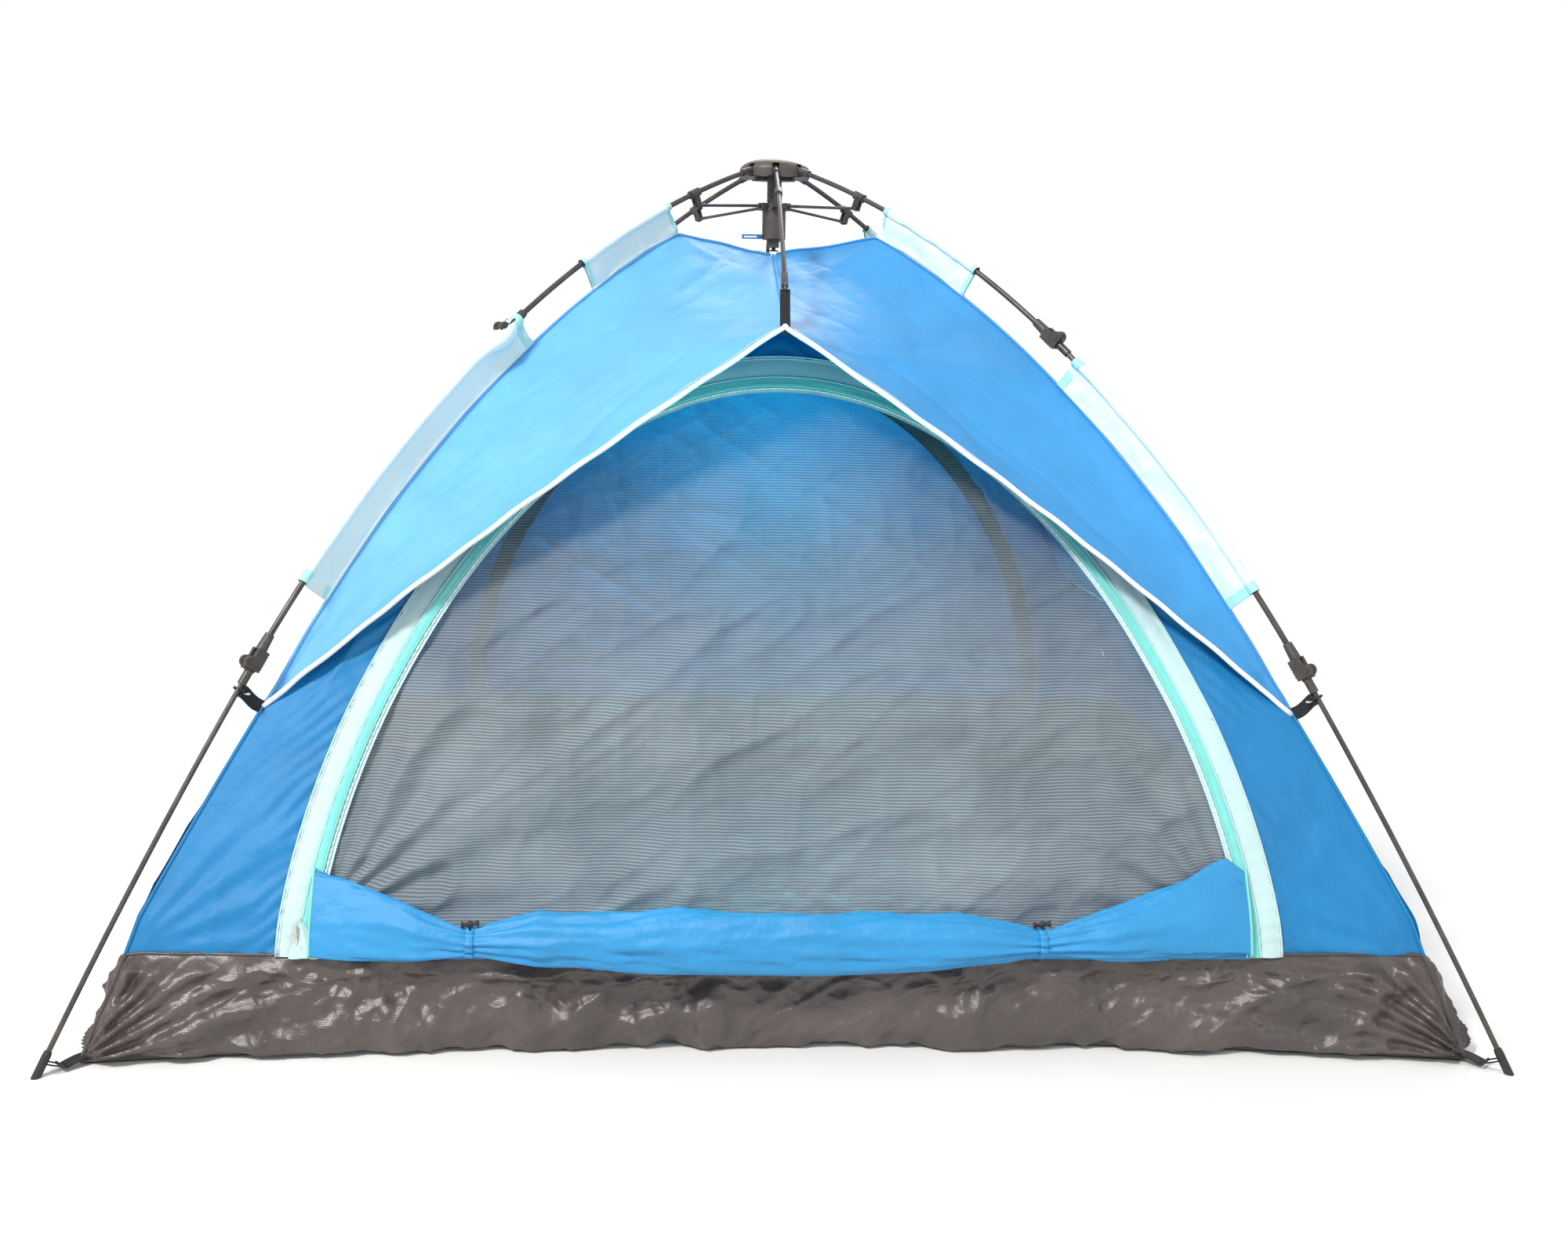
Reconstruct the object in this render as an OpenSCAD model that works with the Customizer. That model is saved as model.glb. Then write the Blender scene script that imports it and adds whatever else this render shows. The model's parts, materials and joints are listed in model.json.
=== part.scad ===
// Pop up tent on four folding corner legs that hang from one hub.
// The origin is on the ground under the hub. The door faces -Y.

/* [Legs] */
// Height of the hub's pivots above the ground
pivot_z = 1433; // [1400:1:1470]
// Distance of the hub's pivots from the centre line
pivot_r = 50; // [49:1:51]
// Straight length of an upper tube
upper_l = 718; // [690:1:740]
// Straight length of a middle tube
middle_l = 727; // [700:1:750]
// Slope of an upper tube below level, in degrees
upper_slope = 28; // [27:0.5:29]
// Slope of a middle tube below level, in degrees
middle_slope = 46.5; // [45:0.5:48]
// Slope of a lower tube below level, in degrees
lower_slope = 57; // [55:0.5:60]
// Half of the angle that an upper tube bends through
upper_bend = 10.5; // [9:0.5:12]
// Half of the angle that a middle tube bends through
middle_bend = 8; // [7:0.5:9]
// Half of the angle that a lower tube bends through
lower_bend = 2.5; // [2:0.5:4]
// Outside diameter of the upper and middle tubes
tube_d = 9.5; // [8:0.5:10.5]
// Outside diameter of the lower tubes and the ridge arms
thin_tube_d = 8; // [7:0.5:9]
// Distance of an elbow's rivet outside the tubes' centre line
elbow_offset = 9; // [9:0.5:10]

/* [Ridge arms] */
// Straight length of a ridge arm
arm_l = 600; // [560:1:630]
// Slope of a ridge arm below level, in degrees
arm_slope = 26; // [25.5:0.5:26.5]
// Half of the angle that a ridge arm bends through
arm_bend = 8; // [7:0.5:9]

/* [Hub] */
// Radius of the crown
crown_r = 70; // [68:1:74]
// Height of the crown
crown_h = 38; // [36:1:42]
// Radius of the centre column
column_r = 14.5; // [14:0.5:15]
// Radius of the runner's barrel
barrel_r = 23.5; // [22:0.5:24]
// How far the strut pivots on the runner lie below the hub's pivots
runner_drop = 72; // [71:1:73]

/* [Fabric] */
// Thickness of the wall cloth as a closed solid
cloth_t = 4; // [3:0.5:5]
// Thickness of the canopy measured upright
canopy_t = 8; // [6:1:9]
// Clearance between the legs and the ridges of the fabric
leg_gap = 55; // [50:1:60]
// Height of the seam between the tub and the walls
seam_z = 150; // [130:1:170]
// Half width of the floor at its corners
floor_half = 1058; // [1040:1:1065]
// How far each floor edge curves in at its middle
floor_sag = 75; // [40:5:90]
// Height of the canopy's centre
canopy_top_z = 1268; // [1262:1:1270]
// How far the canopy's front and back points stand out from the centre
apex_y = 620; // [600:5:630]
// Height of the canopy's front and back points
apex_z = 1110; // [1090:5:1120]

/* [Doors] */
// Half width of the door opening at its foot
door_half = 725; // [680:5:740]
// Height of the door opening above its foot
door_h = 855; // [800:5:870]
// How far the door's sides are drawn straight, where 1 is a half ellipse
door_straight = 1.2; // [1:0.05:1.3]
// Width of the band round a door
band_w = 48; // [30:2:52]
// Height of the rolled door
roll_h = 84; // [70:2:90]
// Thickness of the rolled door
roll_t = 44; // [36:2:48]

/* [Hidden] */

$fn = 40;
// Directions of the legs, counted from the front right
front_right = 315;
back_right = 45;
back_left = 135;
front_left = 225;
leg_turns = [front_right, back_right, back_left, front_left];
front = 270;
back = 90;

// A chain point is [distance from the centre line, height]
hub_point = [pivot_r, pivot_z];
elbow_point = hub_point + upper_l * [cos(upper_slope), -sin(upper_slope)];
knee_point = elbow_point + middle_l * [cos(middle_slope), -sin(middle_slope)];
lower_l = knee_point[1] / sin(lower_slope);

// A tube is [start point, slope, straight length, half bend, diameter]
upper = [hub_point, upper_slope, upper_l, upper_bend, tube_d];
middle = [elbow_point, middle_slope, middle_l, middle_bend, tube_d];
lower = [knee_point, lower_slope, lower_l, lower_bend, thin_tube_d];
arm = [hub_point, arm_slope, arm_l, arm_bend, thin_tube_d];

function bend_r(tube) = tube[2] / (2 * sin(tube[3]));
function slope_at(tube, t) = tube[1] - tube[3] + 2 * tube[3] * t;
function outward(slope) = [sin(slope), cos(slope)];
function centre_of(tube) = tube[0] - bend_r(tube) * outward(slope_at(tube, 0));
function point_at(tube, t) = centre_of(tube) + bend_r(tube) * outward(slope_at(tube, t));
// Share of a tube's length that a distance along it makes
function share(tube, distance) = distance / (2 * PI * bend_r(tube) * 2 * tube[3] / 360);

// The strut's two pins, in the plane of its leg
strut_out = hub_point + [170, -86];
strut_in = hub_point + [-16, -runner_drop];
strut_pin_d = 4;
pin_play = 0.1;
// Distance along the tube to the collar that carries the strut's outer pin
slider_at = 186;
slider_half = 12;
hub_ferrule_l = 46;

// Elbow sizes
socket_l = 54;
socket_depth = 16;
grip_x = 10.5;
knuckle_r = 10;
ear_half = 11;
slot_half = 5;
tongue_half = 4.7;
ferrule_r = 7;
ferrule_l = 36;
rivet_d = 5;
rivet_head_d = 9;
rivet_head_t = 1.6;
socket_play = 0.8;
foot_l = 26;

// Fabric ridge, from the hub down to the tub seam, as [half width, height]
function below(tube, t, gap) = point_at(tube, t) - gap * outward(slope_at(tube, t));
function half(p) = [p[0] / sqrt(2), p[1]];
ridge = [
    for (t = [0.36, 0.53, 0.7, 0.88]) half(below(upper, t, leg_gap)),
    for (t = [0.02, 0.26, 0.5, 0.76, 0.96]) half(below(middle, t, leg_gap)),
    half(below(lower, 0.07, leg_gap)),
    for (t = [0.3, 0.52]) half(below(lower, t, leg_gap - 30 * t))
];
eave_i = 9;
seam_half = 998;
wall_profile = concat([for (i = [eave_i:len(ridge) - 1]) ridge[i]], [[seam_half, seam_z]]);
eave_half = ridge[eave_i][0];
porch_half = 475;
// The front wall ends below the canopy in a low gable
gable_i = 3;
front_profile = concat([for (i = [gable_i:len(ridge) - 1]) ridge[i]], [[seam_half, seam_z]]);
floor_t = 3;
edge_inset = 24;
corner_inset = 5.5;
canopy_gap = 10;
eave_drop = 14;
door_foot_z = seam_z + 8;

function mix(a, b, t) = a + (b - a) * t;

// ---- Placing ----

// Turns a leg's own plane, which is drawn along +X, to its direction
module turned(turn) {
    rotate([0, 0, turn]) children();
}

// Local +Z runs down the tube and local +X points outward
module on_tube(tube, t) {
    p = point_at(tube, t);
    translate([p[0], 0, p[1]]) rotate([0, 90 + slope_at(tube, t), 0]) rotate([0, 0, 180]) children();
}

module bent_tube(tube, t0, t1, d) {
    c = centre_of(tube);
    translate([c[0], 0, c[1]])
        rotate([90, 0, 0])
            rotate([0, 0, 90 - slope_at(tube, t1)])
                rotate_extrude(angle = slope_at(tube, t1) - slope_at(tube, t0), $fn = 96)
                    translate([bend_r(tube), 0]) circle(d = d);
}

module across(d, half_w) {
    rotate([90, 0, 0]) cylinder(d = d, h = 2 * half_w, center = true);
}

// ---- Hub ----

crown_bottom = pivot_z - 16;
crown_cavity_r = 41.5;
crown_cavity_z = pivot_z + 4;
leg_slot_half = 7;
crown_pin_l = 27;
column_bottom = 1296;
cap_bottom = 1281;
column_wall = 2;
column_play = 0.05;
slide_play = 0.08;
all_turns = concat(leg_turns, [front, back]);

module crown_profile() {
    rim_h = 14;
    polygon(concat(
        [[0, 0], [crown_r, 0]],
        [for (a = [0:9:90]) [crown_r * cos(a) , rim_h + (crown_h - rim_h) * sin(a)]]
    ));
}

module hub_crown() {
    column_socket = 7;
    slot_top = pivot_z + 8.5;
    color("#4a4440")
    difference() {
        translate([0, 0, crown_bottom]) rotate_extrude($fn = 64) crown_profile();
        translate([0, 0, crown_bottom - 1])
            cylinder(r = crown_cavity_r, h = crown_cavity_z - crown_bottom + 1);
        translate([0, 0, crown_cavity_z - 1]) cylinder(r = column_r + column_play, h = column_socket);
        for (turn = all_turns) turned(turn) {
            translate([crown_cavity_r - 3, -leg_slot_half, crown_bottom - 1])
                cube([crown_r, 2 * leg_slot_half, slot_top - crown_bottom]);
            translate([pivot_r, 0, pivot_z]) across(strut_pin_d + pin_play, crown_pin_l / 2 + 2 * pin_play);
        }
    }
}

module crown_pins() {
    color("silver")
    for (turn = all_turns) turned(turn)
        translate([pivot_r, 0, pivot_z]) across(strut_pin_d, crown_pin_l / 2);
}

module hub_column() {
    color("#57504b")
    difference() {
        translate([0, 0, column_bottom]) cylinder(r = column_r, h = crown_cavity_z + 5.5 - column_bottom);
        translate([0, 0, column_bottom - 1])
            cylinder(r = column_r - column_wall, h = crown_cavity_z - column_bottom);
    }
}

module column_end_cap() {
    nose_r = 11;
    flange_t = 3;
    plug_l = 6;
    color("#4a4440")
    union() {
        translate([0, 0, cap_bottom]) cylinder(r = nose_r, h = column_bottom - cap_bottom);
        translate([0, 0, column_bottom - flange_t]) cylinder(r = column_r, h = flange_t);
        translate([0, 0, column_bottom - 1])
            cylinder(r = column_r - column_wall - 2 * column_play, h = plug_l + 1);
    }
}

module canopy_hook() {
    stem = [4, 5];
    bar = [18, 3, 2.5];
    color("#222222")
    union() {
        translate([0, 0, cap_bottom - stem[1]]) cylinder(r = stem[0], h = stem[1]);
        translate([-bar[0] / 2, -bar[1] / 2, cap_bottom - stem[1] - bar[2]]) cube(bar);
    }
}

// ---- Runner and struts ----

cheek_in = 3.4;
cheek_t = 3;
strut_half = 3;
eye_r = 5;
strut_rod_r = 3.2;

module cheeks(x0, x1, z0, z1) {
    for (s = [0, 1]) mirror([0, s, 0])
        translate([x0, cheek_in, z0]) cube([x1 - x0, cheek_t, z1 - z0]);
}

module runner() {
    z = strut_in[1];
    lug_half = 5.5;
    collar_top = z + lug_half;
    barrel_bottom = column_bottom + 1;
    lip_t = 5;
    color("#4a4440")
    difference() {
        union() {
            translate([0, 0, barrel_bottom]) cylinder(r = barrel_r, h = collar_top - barrel_bottom);
            translate([0, 0, z - lip_t - 3]) cylinder(r = barrel_r + 1.5, h = lip_t);
            for (turn = all_turns) turned(turn)
                cheeks(barrel_r - 2, strut_in[0] + lug_half, z - lug_half, z + lug_half);
        }
        translate([0, 0, barrel_bottom - 1])
            cylinder(r = column_r + slide_play, h = collar_top - barrel_bottom + 2);
        for (turn = all_turns) turned(turn)
            translate([strut_in[0], 0, z]) {
                across(strut_pin_d + pin_play, cheek_in + cheek_t + 1);
                across(2 * eye_r + 1.6, strut_half + 0.35);
            }
    }
}

module runner_pins() {
    color("silver")
    for (turn = all_turns) turned(turn)
        translate([strut_in[0], 0, strut_in[1]]) across(strut_pin_d, cheek_in + cheek_t);
}

module runner_pull_tab() {
    z = column_bottom + 2;
    tab = [40.2, 14, 8];
    fold = [26, 16, 4];
    tip = -64;
    color("#2f86c9")
    difference() {
        translate([tip, -tab[1] / 2, z]) cube(tab);
        translate([tip + 4, -fold[1] / 2, z + (tab[2] - fold[2]) / 2]) cube(fold);
        translate([0, 0, z - 1]) cylinder(r = barrel_r + pin_play, h = tab[2] + 2);
    }
}

module strut(turn) {
    reach = strut_out - strut_in;
    length = norm(reach);
    drop = atan2(-reach[1], reach[0]);
    ferrule = 22;
    color("#57504b")
    turned(turn)
        translate([strut_in[0], 0, strut_in[1]]) rotate([0, drop, 0])
            difference() {
                union() {
                    across(2 * eye_r, strut_half);
                    translate([length, 0, 0]) across(2 * eye_r, strut_half);
                    rotate([0, 90, 0]) cylinder(r = strut_rod_r - 0.4, h = length);
                    for (x = [6, length - 6 - ferrule])
                        translate([x, 0, 0]) rotate([0, 90, 0]) cylinder(r = strut_rod_r - 0.2, h = ferrule);
                }
                for (x = [0, length]) translate([x, 0, 0]) across(strut_pin_d + pin_play, 2 * eye_r);
            }
}

// ---- Legs ----

// Collar that slides on a tube and carries the strut's outer pin between two cheeks
module slider_bracket(tube) {
    t = share(tube, slider_at);
    slope = slope_at(tube, t);
    lug = (point_at(tube, t) - strut_out) * outward(slope);
    on_tube(tube, t) {
        translate([0, 0, -slider_half]) cylinder(d = tube[4] + 6.5, h = 2 * slider_half);
        for (s = [0, 1]) mirror([0, s, 0])
            translate([-lug - eye_r, cheek_in, -slider_half / 2]) cube([lug + 3, cheek_t, slider_half]);
    }
}

module hub_end(tube) {
    knuckle_d = 14;
    on_tube(tube, 0)
        difference() {
            union() {
                across(knuckle_d, leg_slot_half - 0.4);
                cylinder(d = tube[4] + 4, h = hub_ferrule_l);
            }
            across(strut_pin_d + pin_play, leg_slot_half + 1);
        }
}

// A tube that hangs from the hub, with the bracket that its strut pushes on
module leg_tube(tube, t1) {
    hub_end(tube);
    bent_tube(tube, share(tube, hub_ferrule_l - 6), t1, tube[4]);
    slider_bracket(tube);
}

module upper_leg(turn) {
    color("#57504b") turned(turn) leg_tube(upper, 1 - share(upper, socket_l - socket_depth));
}

// Fixed half of an elbow: a tapered socket, a forked knuckle and its rivet
module elbow(tube, turn) {
    turned(turn) {
        color("#4a4440")
        difference() {
            on_tube(tube, 1) elbow_body();
            bent_tube(tube, 1 - share(tube, socket_l + 2), 1 - share(tube, socket_l - socket_depth - 2),
                tube[4] + socket_play);
            on_tube(tube, 1) elbow_slots();
        }
        color("silver")
        on_tube(tube, 1) translate([elbow_offset, 0, 0]) {
            across(rivet_d, ear_half + 1);
            for (s = [-1, 1]) translate([0, s * (ear_half + rivet_head_t / 2), 0])
                across(rivet_head_d, rivet_head_t / 2);
        }
    }
}

module elbow_body() {
    block_top = -26;
    block_bottom = 9;
    rib_d = 2.4;
    translate([0, 0, -socket_l]) cylinder(r1 = 7.5, r2 = knuckle_r, h = socket_l - knuckle_r);
    translate([-grip_x, -ear_half, block_top])
        cube([grip_x + elbow_offset, 2 * ear_half, block_bottom - block_top]);
    translate([elbow_offset, 0, 0]) across(2 * knuckle_r, ear_half);
    for (z = [block_top + 3:5:block_bottom - 4]) translate([-grip_x, 0, z]) across(rib_d, ear_half);
}

// Slot that the moving half folds into, a shallow recess above it and the rivet's bore
module elbow_slots() {
    slot_top = -11.5;
    open_l = 40;
    translate([-7.6, -slot_half, slot_top]) cube([open_l, 2 * slot_half, open_l]);
    translate([elbow_offset - 4, -slot_half, 2 * slot_top - 1]) cube([open_l / 2, 2 * slot_half, open_l / 2]);
    translate([elbow_offset, 0, 0]) across(rivet_d + pin_play, ear_half + 1);
}

// Moving half of an elbow: the tongue on the rivet and its ferrule
module swivel_end(tube) {
    neck_l = 13;
    neck_in = 6.8;
    tongue_d = 17;
    on_tube(tube, 0)
        difference() {
            union() {
                translate([elbow_offset, 0, 0]) across(tongue_d, tongue_half);
                translate([-neck_in, -tongue_half, 0])
                    cube([neck_in + elbow_offset + 5, 2 * tongue_half, neck_l]);
                translate([0, 0, neck_l - 1]) cylinder(r = ferrule_r, h = ferrule_l - neck_l + 1);
            }
            translate([elbow_offset, 0, 0]) across(rivet_d + pin_play, ear_half);
        }
}

module middle_leg(turn) {
    color("#57504b") turned(turn) {
        swivel_end(middle);
        bent_tube(middle, share(middle, 24), 1 - share(middle, socket_l - socket_depth), middle[4]);
    }
}

module lower_leg(turn) {
    color("#57504b") turned(turn) {
        swivel_end(lower);
        bent_tube(lower, share(lower, 24), 1 - share(lower, foot_l + 12), lower[4]);
    }
}

// Plastic foot pushed on the tube's end, cut level with the ground
module foot(turn) {
    foot_d = 13;
    collar_d = 11;
    collar_l = 6;
    below_ground = [300, 100, 60];
    color("#2b2826") turned(turn)
        difference() {
            on_tube(lower, 1 - share(lower, foot_l + 8)) {
                cylinder(d = foot_d, h = foot_l + 12);
                translate([0, 0, -collar_l]) cylinder(d1 = collar_d, d2 = foot_d, h = collar_l);
            }
            on_tube(lower, 1 - share(lower, foot_l + 16))
                cylinder(d = thin_tube_d + socket_play, h = 14);
            translate([1400, -below_ground[1] / 2, -below_ground[2]]) cube(below_ground);
        }
}

hook_r = 9;
hook_bar_r = 3;

module arm_piece(turn) {
    tip = 1 - share(arm, 14);
    sleeve_l = 40;
    color("#57504b") turned(turn) {
        leg_tube(arm, tip);
        bent_tube(arm, tip - share(arm, sleeve_l), tip, thin_tube_d + 4);
        on_tube(arm, 1) translate([0, 0, -2])
            difference() {
                rotate([90, 0, 0]) rotate_extrude($fn = 32) translate([hook_r, 0]) circle(r = hook_bar_r);
                translate([-1, -6, 4]) cube([8, 12, 12]);
            }
    }
}

// ---- Fabric ----

// Closed solid from two grids of points with equal rows; the second grid is the inner face
function sheet_faces(rows, cols) = let (n = rows * cols) concat(
    [for (i = [0:rows - 2], j = [0:cols - 2]) each [
        [i * cols + j, i * cols + j + 1, (i + 1) * cols + j + 1],
        [i * cols + j, (i + 1) * cols + j + 1, (i + 1) * cols + j]]],
    [for (i = [0:rows - 2], j = [0:cols - 2]) each [
        [n + i * cols + j, n + (i + 1) * cols + j + 1, n + i * cols + j + 1],
        [n + i * cols + j, n + (i + 1) * cols + j, n + (i + 1) * cols + j + 1]]],
    [for (j = [0:cols - 2]) each [
        [j + 1, j, n + j], [j + 1, n + j, n + j + 1],
        [(rows - 1) * cols + j, (rows - 1) * cols + j + 1, n + (rows - 1) * cols + j + 1],
        [(rows - 1) * cols + j, n + (rows - 1) * cols + j + 1, n + (rows - 1) * cols + j]]],
    [for (i = [0:rows - 2]) each [
        [i * cols, (i + 1) * cols, n + (i + 1) * cols], [i * cols, n + (i + 1) * cols, n + i * cols],
        [(i + 1) * cols + cols - 1, i * cols + cols - 1, n + i * cols + cols - 1],
        [(i + 1) * cols + cols - 1, n + i * cols + cols - 1, n + (i + 1) * cols + cols - 1]]]
);

module sheet(outer, inward) {
    cols = len(outer[0]);
    points = concat([for (row = outer, p = row) p], [for (row = outer, p = row) p + inward]);
    polyhedron(points = points, faces = sheet_faces(len(outer), cols));
}

// Front or back wall, narrowed at its edges and closed by a gable under the canopy
module end_wall() {
    gable = [[24, 365, 1132], [200, 395, 1108]];
    eave_row = eave_i - gable_i;
    sheet(concat(
        [for (g = gable) [[-g[0], -g[1], g[2]], [g[0], -g[1], g[2]]]],
        [for (i = [0:len(front_profile) - 1]) let (
            p = front_profile[i],
            inset = i < eave_row ? edge_inset : corner_inset,
            drop = i < eave_row ? canopy_gap : (i == eave_row ? eave_drop : 0))
            [[-(p[0] - inset), -p[0], p[1] - drop], [p[0] - inset, -p[0], p[1] - drop]]]
    ), [0, cloth_t, 0]);
}

// Outline of a door in its own upright plane, grown by a margin
module door_outline(grow) {
    sink = min(grow, 0);
    polygon([for (a = [0:7.5:180]) [
        (door_half + grow) * cos(a),
        door_foot_z - sink + (door_h + grow + sink) * pow(sin(a), door_straight)]]);
}

module door_prism(grow) {
    rotate([90, 0, 0]) linear_extrude(height = 1.4 * floor_half) door_outline(grow);
}

module groundsheet() {
    side = [for (t = [-1:0.125:1]) [t * floor_half, floor_half - floor_sag * (1 - t * t)]];
    color("#4b413d")
    linear_extrude(height = floor_t)
        intersection_for (turn = [0, 90, 180, 270]) rotate([0, 0, turn])
            polygon(concat(side, [[floor_half, -floor_half * 1.2], [-floor_half, -floor_half * 1.2]]));
}

// Low wall of the tub: it leans out from the seam to the curved edge of the floor, in four lengths
module tub_side() {
    gap = 3;
    lengths = 4;
    split = 0.0004;
    levels = [0, 0.5, 1];
    for (k = [0:lengths - 1]) {
        t0 = mix(-1, 1, k / lengths) + split;
        t1 = mix(-1, 1, (k + 1) / lengths) - split;
        sheet([for (level = levels) [for (t = [t0, (t0 + t1) / 2, t1]) let (
            top = [t * (seam_half - 6), -seam_half, seam_z - gap],
            foot = [t * (floor_half - 12), -(floor_half - 6) + floor_sag * (1 - t * t), floor_t + 0.3])
            mix(top, foot, level)]], [0, cloth_t, 0]);
    }
}

module tub_wall() {
    far_out = 1200;
    side_gap = 5.5;
    color("#4b413d")
    for (turn = [0, 90, 180, 270]) rotate([0, 0, turn])
        intersection() {
            tub_side();
            linear_extrude(height = seam_z)
                polygon([[0, 0], [-far_out, side_gap - far_out], [far_out, side_gap - far_out]]);
        }
}

module side_wall(turn) {
    rows = [for (p = wall_profile) [p[0], p[1] - (p[1] == ridge[eave_i][1] ? eave_drop : 0)]];
    color("#3f97d2") rotate([0, 0, turn])
        sheet([for (p = rows) [
            [-(p[0] - 0.5), -p[0], p[1]], [p[0] - 0.5, -p[0], p[1]]]], [0, cloth_t, 0]);
}

module left_wall() {
    side_wall(-90);
}

module right_wall() {
    side_wall(90);
}

module front_wall() {
    color("#3f97d2") difference() {
        end_wall();
        door_prism(band_w);
    }
}

module back_wall() {
    color("#3f97d2") rotate([0, 0, 180]) difference() {
        end_wall();
        door_prism(band_w);
    }
}

module door_band() {
    difference() {
        intersection() {
            end_wall();
            door_prism(band_w);
        }
        door_prism(0);
    }
}

module front_door_band() {
    color("#c8efe8") door_band();
}

module back_door_band() {
    color("#5b524d") rotate([0, 0, 180]) door_band();
}

module mesh_door() {
    color("#9aa0a6") intersection() {
        end_wall();
        door_prism(-3);
    }
}

module back_door_panel() {
    color("#3f97d2") rotate([0, 0, 180]) intersection() {
        end_wall();
        door_prism(-0.2);
    }
}

// Half of the canopy is sewn from three panels: a porch half at each end and the side face
panel_gap = 1.2;
seam_gap = 0.4;

function porch_point(p) = let (x = p[0])
    x <= porch_half
        ? mix([0, 0, canopy_top_z], [0, -apex_y, apex_z], x / porch_half)
        : mix([0, -apex_y, apex_z], [-eave_half, -eave_half, ridge[eave_i][1]],
            (x - porch_half) / (eave_half - porch_half) * 0.985);

function porch_row(p) = let (s = porch_point(p)) [
    s + [s[0] > -1 ? -seam_gap : 0, 0, 0],
    [-p[0], -p[0], p[1]]];

function side_row(p) = let (y = p[0] - panel_gap) [
    [-p[0], -y, p[1]],
    [-p[0], y, p[1]]];

module canopy_half() {
    top_y = [20, 60];
    down = [0, 0, -canopy_t];
    porch_top = [for (y = [top_y[1], top_y[0]]) [-seam_gap, -y, canopy_top_z]];
    side_top = [for (s = [-1, 1]) [-seam_gap, s * (top_y[0] - panel_gap), canopy_top_z]];
    for (end = [0, 1]) mirror([0, end, 0])
        sheet(concat([porch_top], [for (i = [0:eave_i]) porch_row(ridge[i])]), down);
    sheet(concat([side_top], [for (i = [0:eave_i]) side_row(ridge[i])]), down);
}

module canopy_left() {
    color("#8fbcf0") canopy_half();
}

module canopy_right() {
    color("#5aaeea") mirror([1, 0, 0]) canopy_half();
}

// ---- Trim ----

sleeve_wall = 1.6;

// Tube of cloth round a pole with a flat web down to the ridge of the canopy
module sleeve(tube, t0, t1) {
    steps = 4;
    foot_gap = leg_gap - canopy_t - 1;
    difference() {
        union() {
            bent_tube(tube, t0, t1, tube[4] + 1 + 2 * sleeve_wall);
            rotate([90, 0, 0]) translate([0, 0, -1]) linear_extrude(height = 2) polygon(concat(
                [for (k = [0:steps]) point_at(tube, mix(t0, t1, k / steps))],
                [for (k = [steps:-1:0]) below(tube, mix(t0, t1, k / steps), foot_gap)]));
        }
        bent_tube(tube, t0 - 0.01, t1 + 0.01, tube[4] + 1);
    }
}

module upper_sleeves() {
    color("#d5f1ec") for (turn = leg_turns) turned(turn) sleeve(upper, 0.39, 0.71);
}

module middle_sleeves() {
    color("#d5f1ec") for (turn = leg_turns) turned(turn) sleeve(middle, 0.07, 0.8);
}

roll_z = 168;
roll_y = -(seam_half + roll_t / 2 + 8);
roll_half = 690;

function oval(w, h) = [for (a = [0:15:345]) [w / 2 * cos(a), h / 2 * sin(a)]];

module door_roll() {
    color("#3f97d2")
    translate([-roll_half, roll_y, roll_z]) rotate([90, 0, 90])
        linear_extrude(height = 2 * roll_half) polygon(oval(roll_t, roll_h));
}

tie_x = [-479, 394];

module door_ties() {
    tie_w = 22;
    tie_t = 5;
    tie_play = 0.6;
    toggle = [9, 26];
    for (x = tie_x) translate([x, roll_y, roll_z]) {
        color("#8fbcf0")
        rotate([90, 0, 90]) linear_extrude(height = tie_w, center = true)
            difference() {
                polygon(oval(roll_t + tie_t, roll_h + tie_t));
                polygon(oval(roll_t + tie_play, roll_h + tie_play));
            }
        color("#222222") translate([0, -10, roll_h / 2 + 8]) rotate([0, 90, 0])
            cylinder(d = toggle[0], h = toggle[1], center = true);
    }
}

// The zip's slider sits at the foot of the door's left edge, just outside the wall
zip_x = -door_half - 20;
zip_z = 188;

module zip_slider() {
    y = -seam_half + 3;
    cast = [8, 5, 18];
    pull = [10, 3, 34];
    pull_foot = -38;
    hole_d = 4;
    color("#c8c8c8")
    translate([zip_x, y, zip_z]) {
        translate([-cast[0] / 2, -cast[1], -cast[2] / 2]) cube(cast);
        difference() {
            translate([-pull[0] / 2, -cast[1] - 2, pull_foot]) cube(pull);
            translate([0, -pull[1], pull_foot + 6]) across(hole_d, 2 * pull[1]);
        }
    }
}

// Webbing from the canopy's corner to an open clip round the top of each lower leg
module leg_clips() {
    t = share(lower, ferrule_l + 8);
    clip_h = 8;
    clip_t = 4;
    clip_bore = thin_tube_d + 1.6;
    mouth = 8.8;
    web = [leg_gap - 16 - thin_tube_d / 2 - 3, 18, 2.4];
    for (turn = leg_turns) turned(turn) color("#222222") on_tube(lower, t) {
        difference() {
            cylinder(d = thin_tube_d + 2 * clip_t, h = clip_h);
            translate([0, 0, -1]) cylinder(d = clip_bore, h = clip_h + 2);
            translate([0, -mouth / 2, -1]) cube([20, mouth, clip_h + 2]);
        }
        translate([16 - leg_gap, -web[1] / 2, 2]) cube(web);
    }
}

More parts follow.
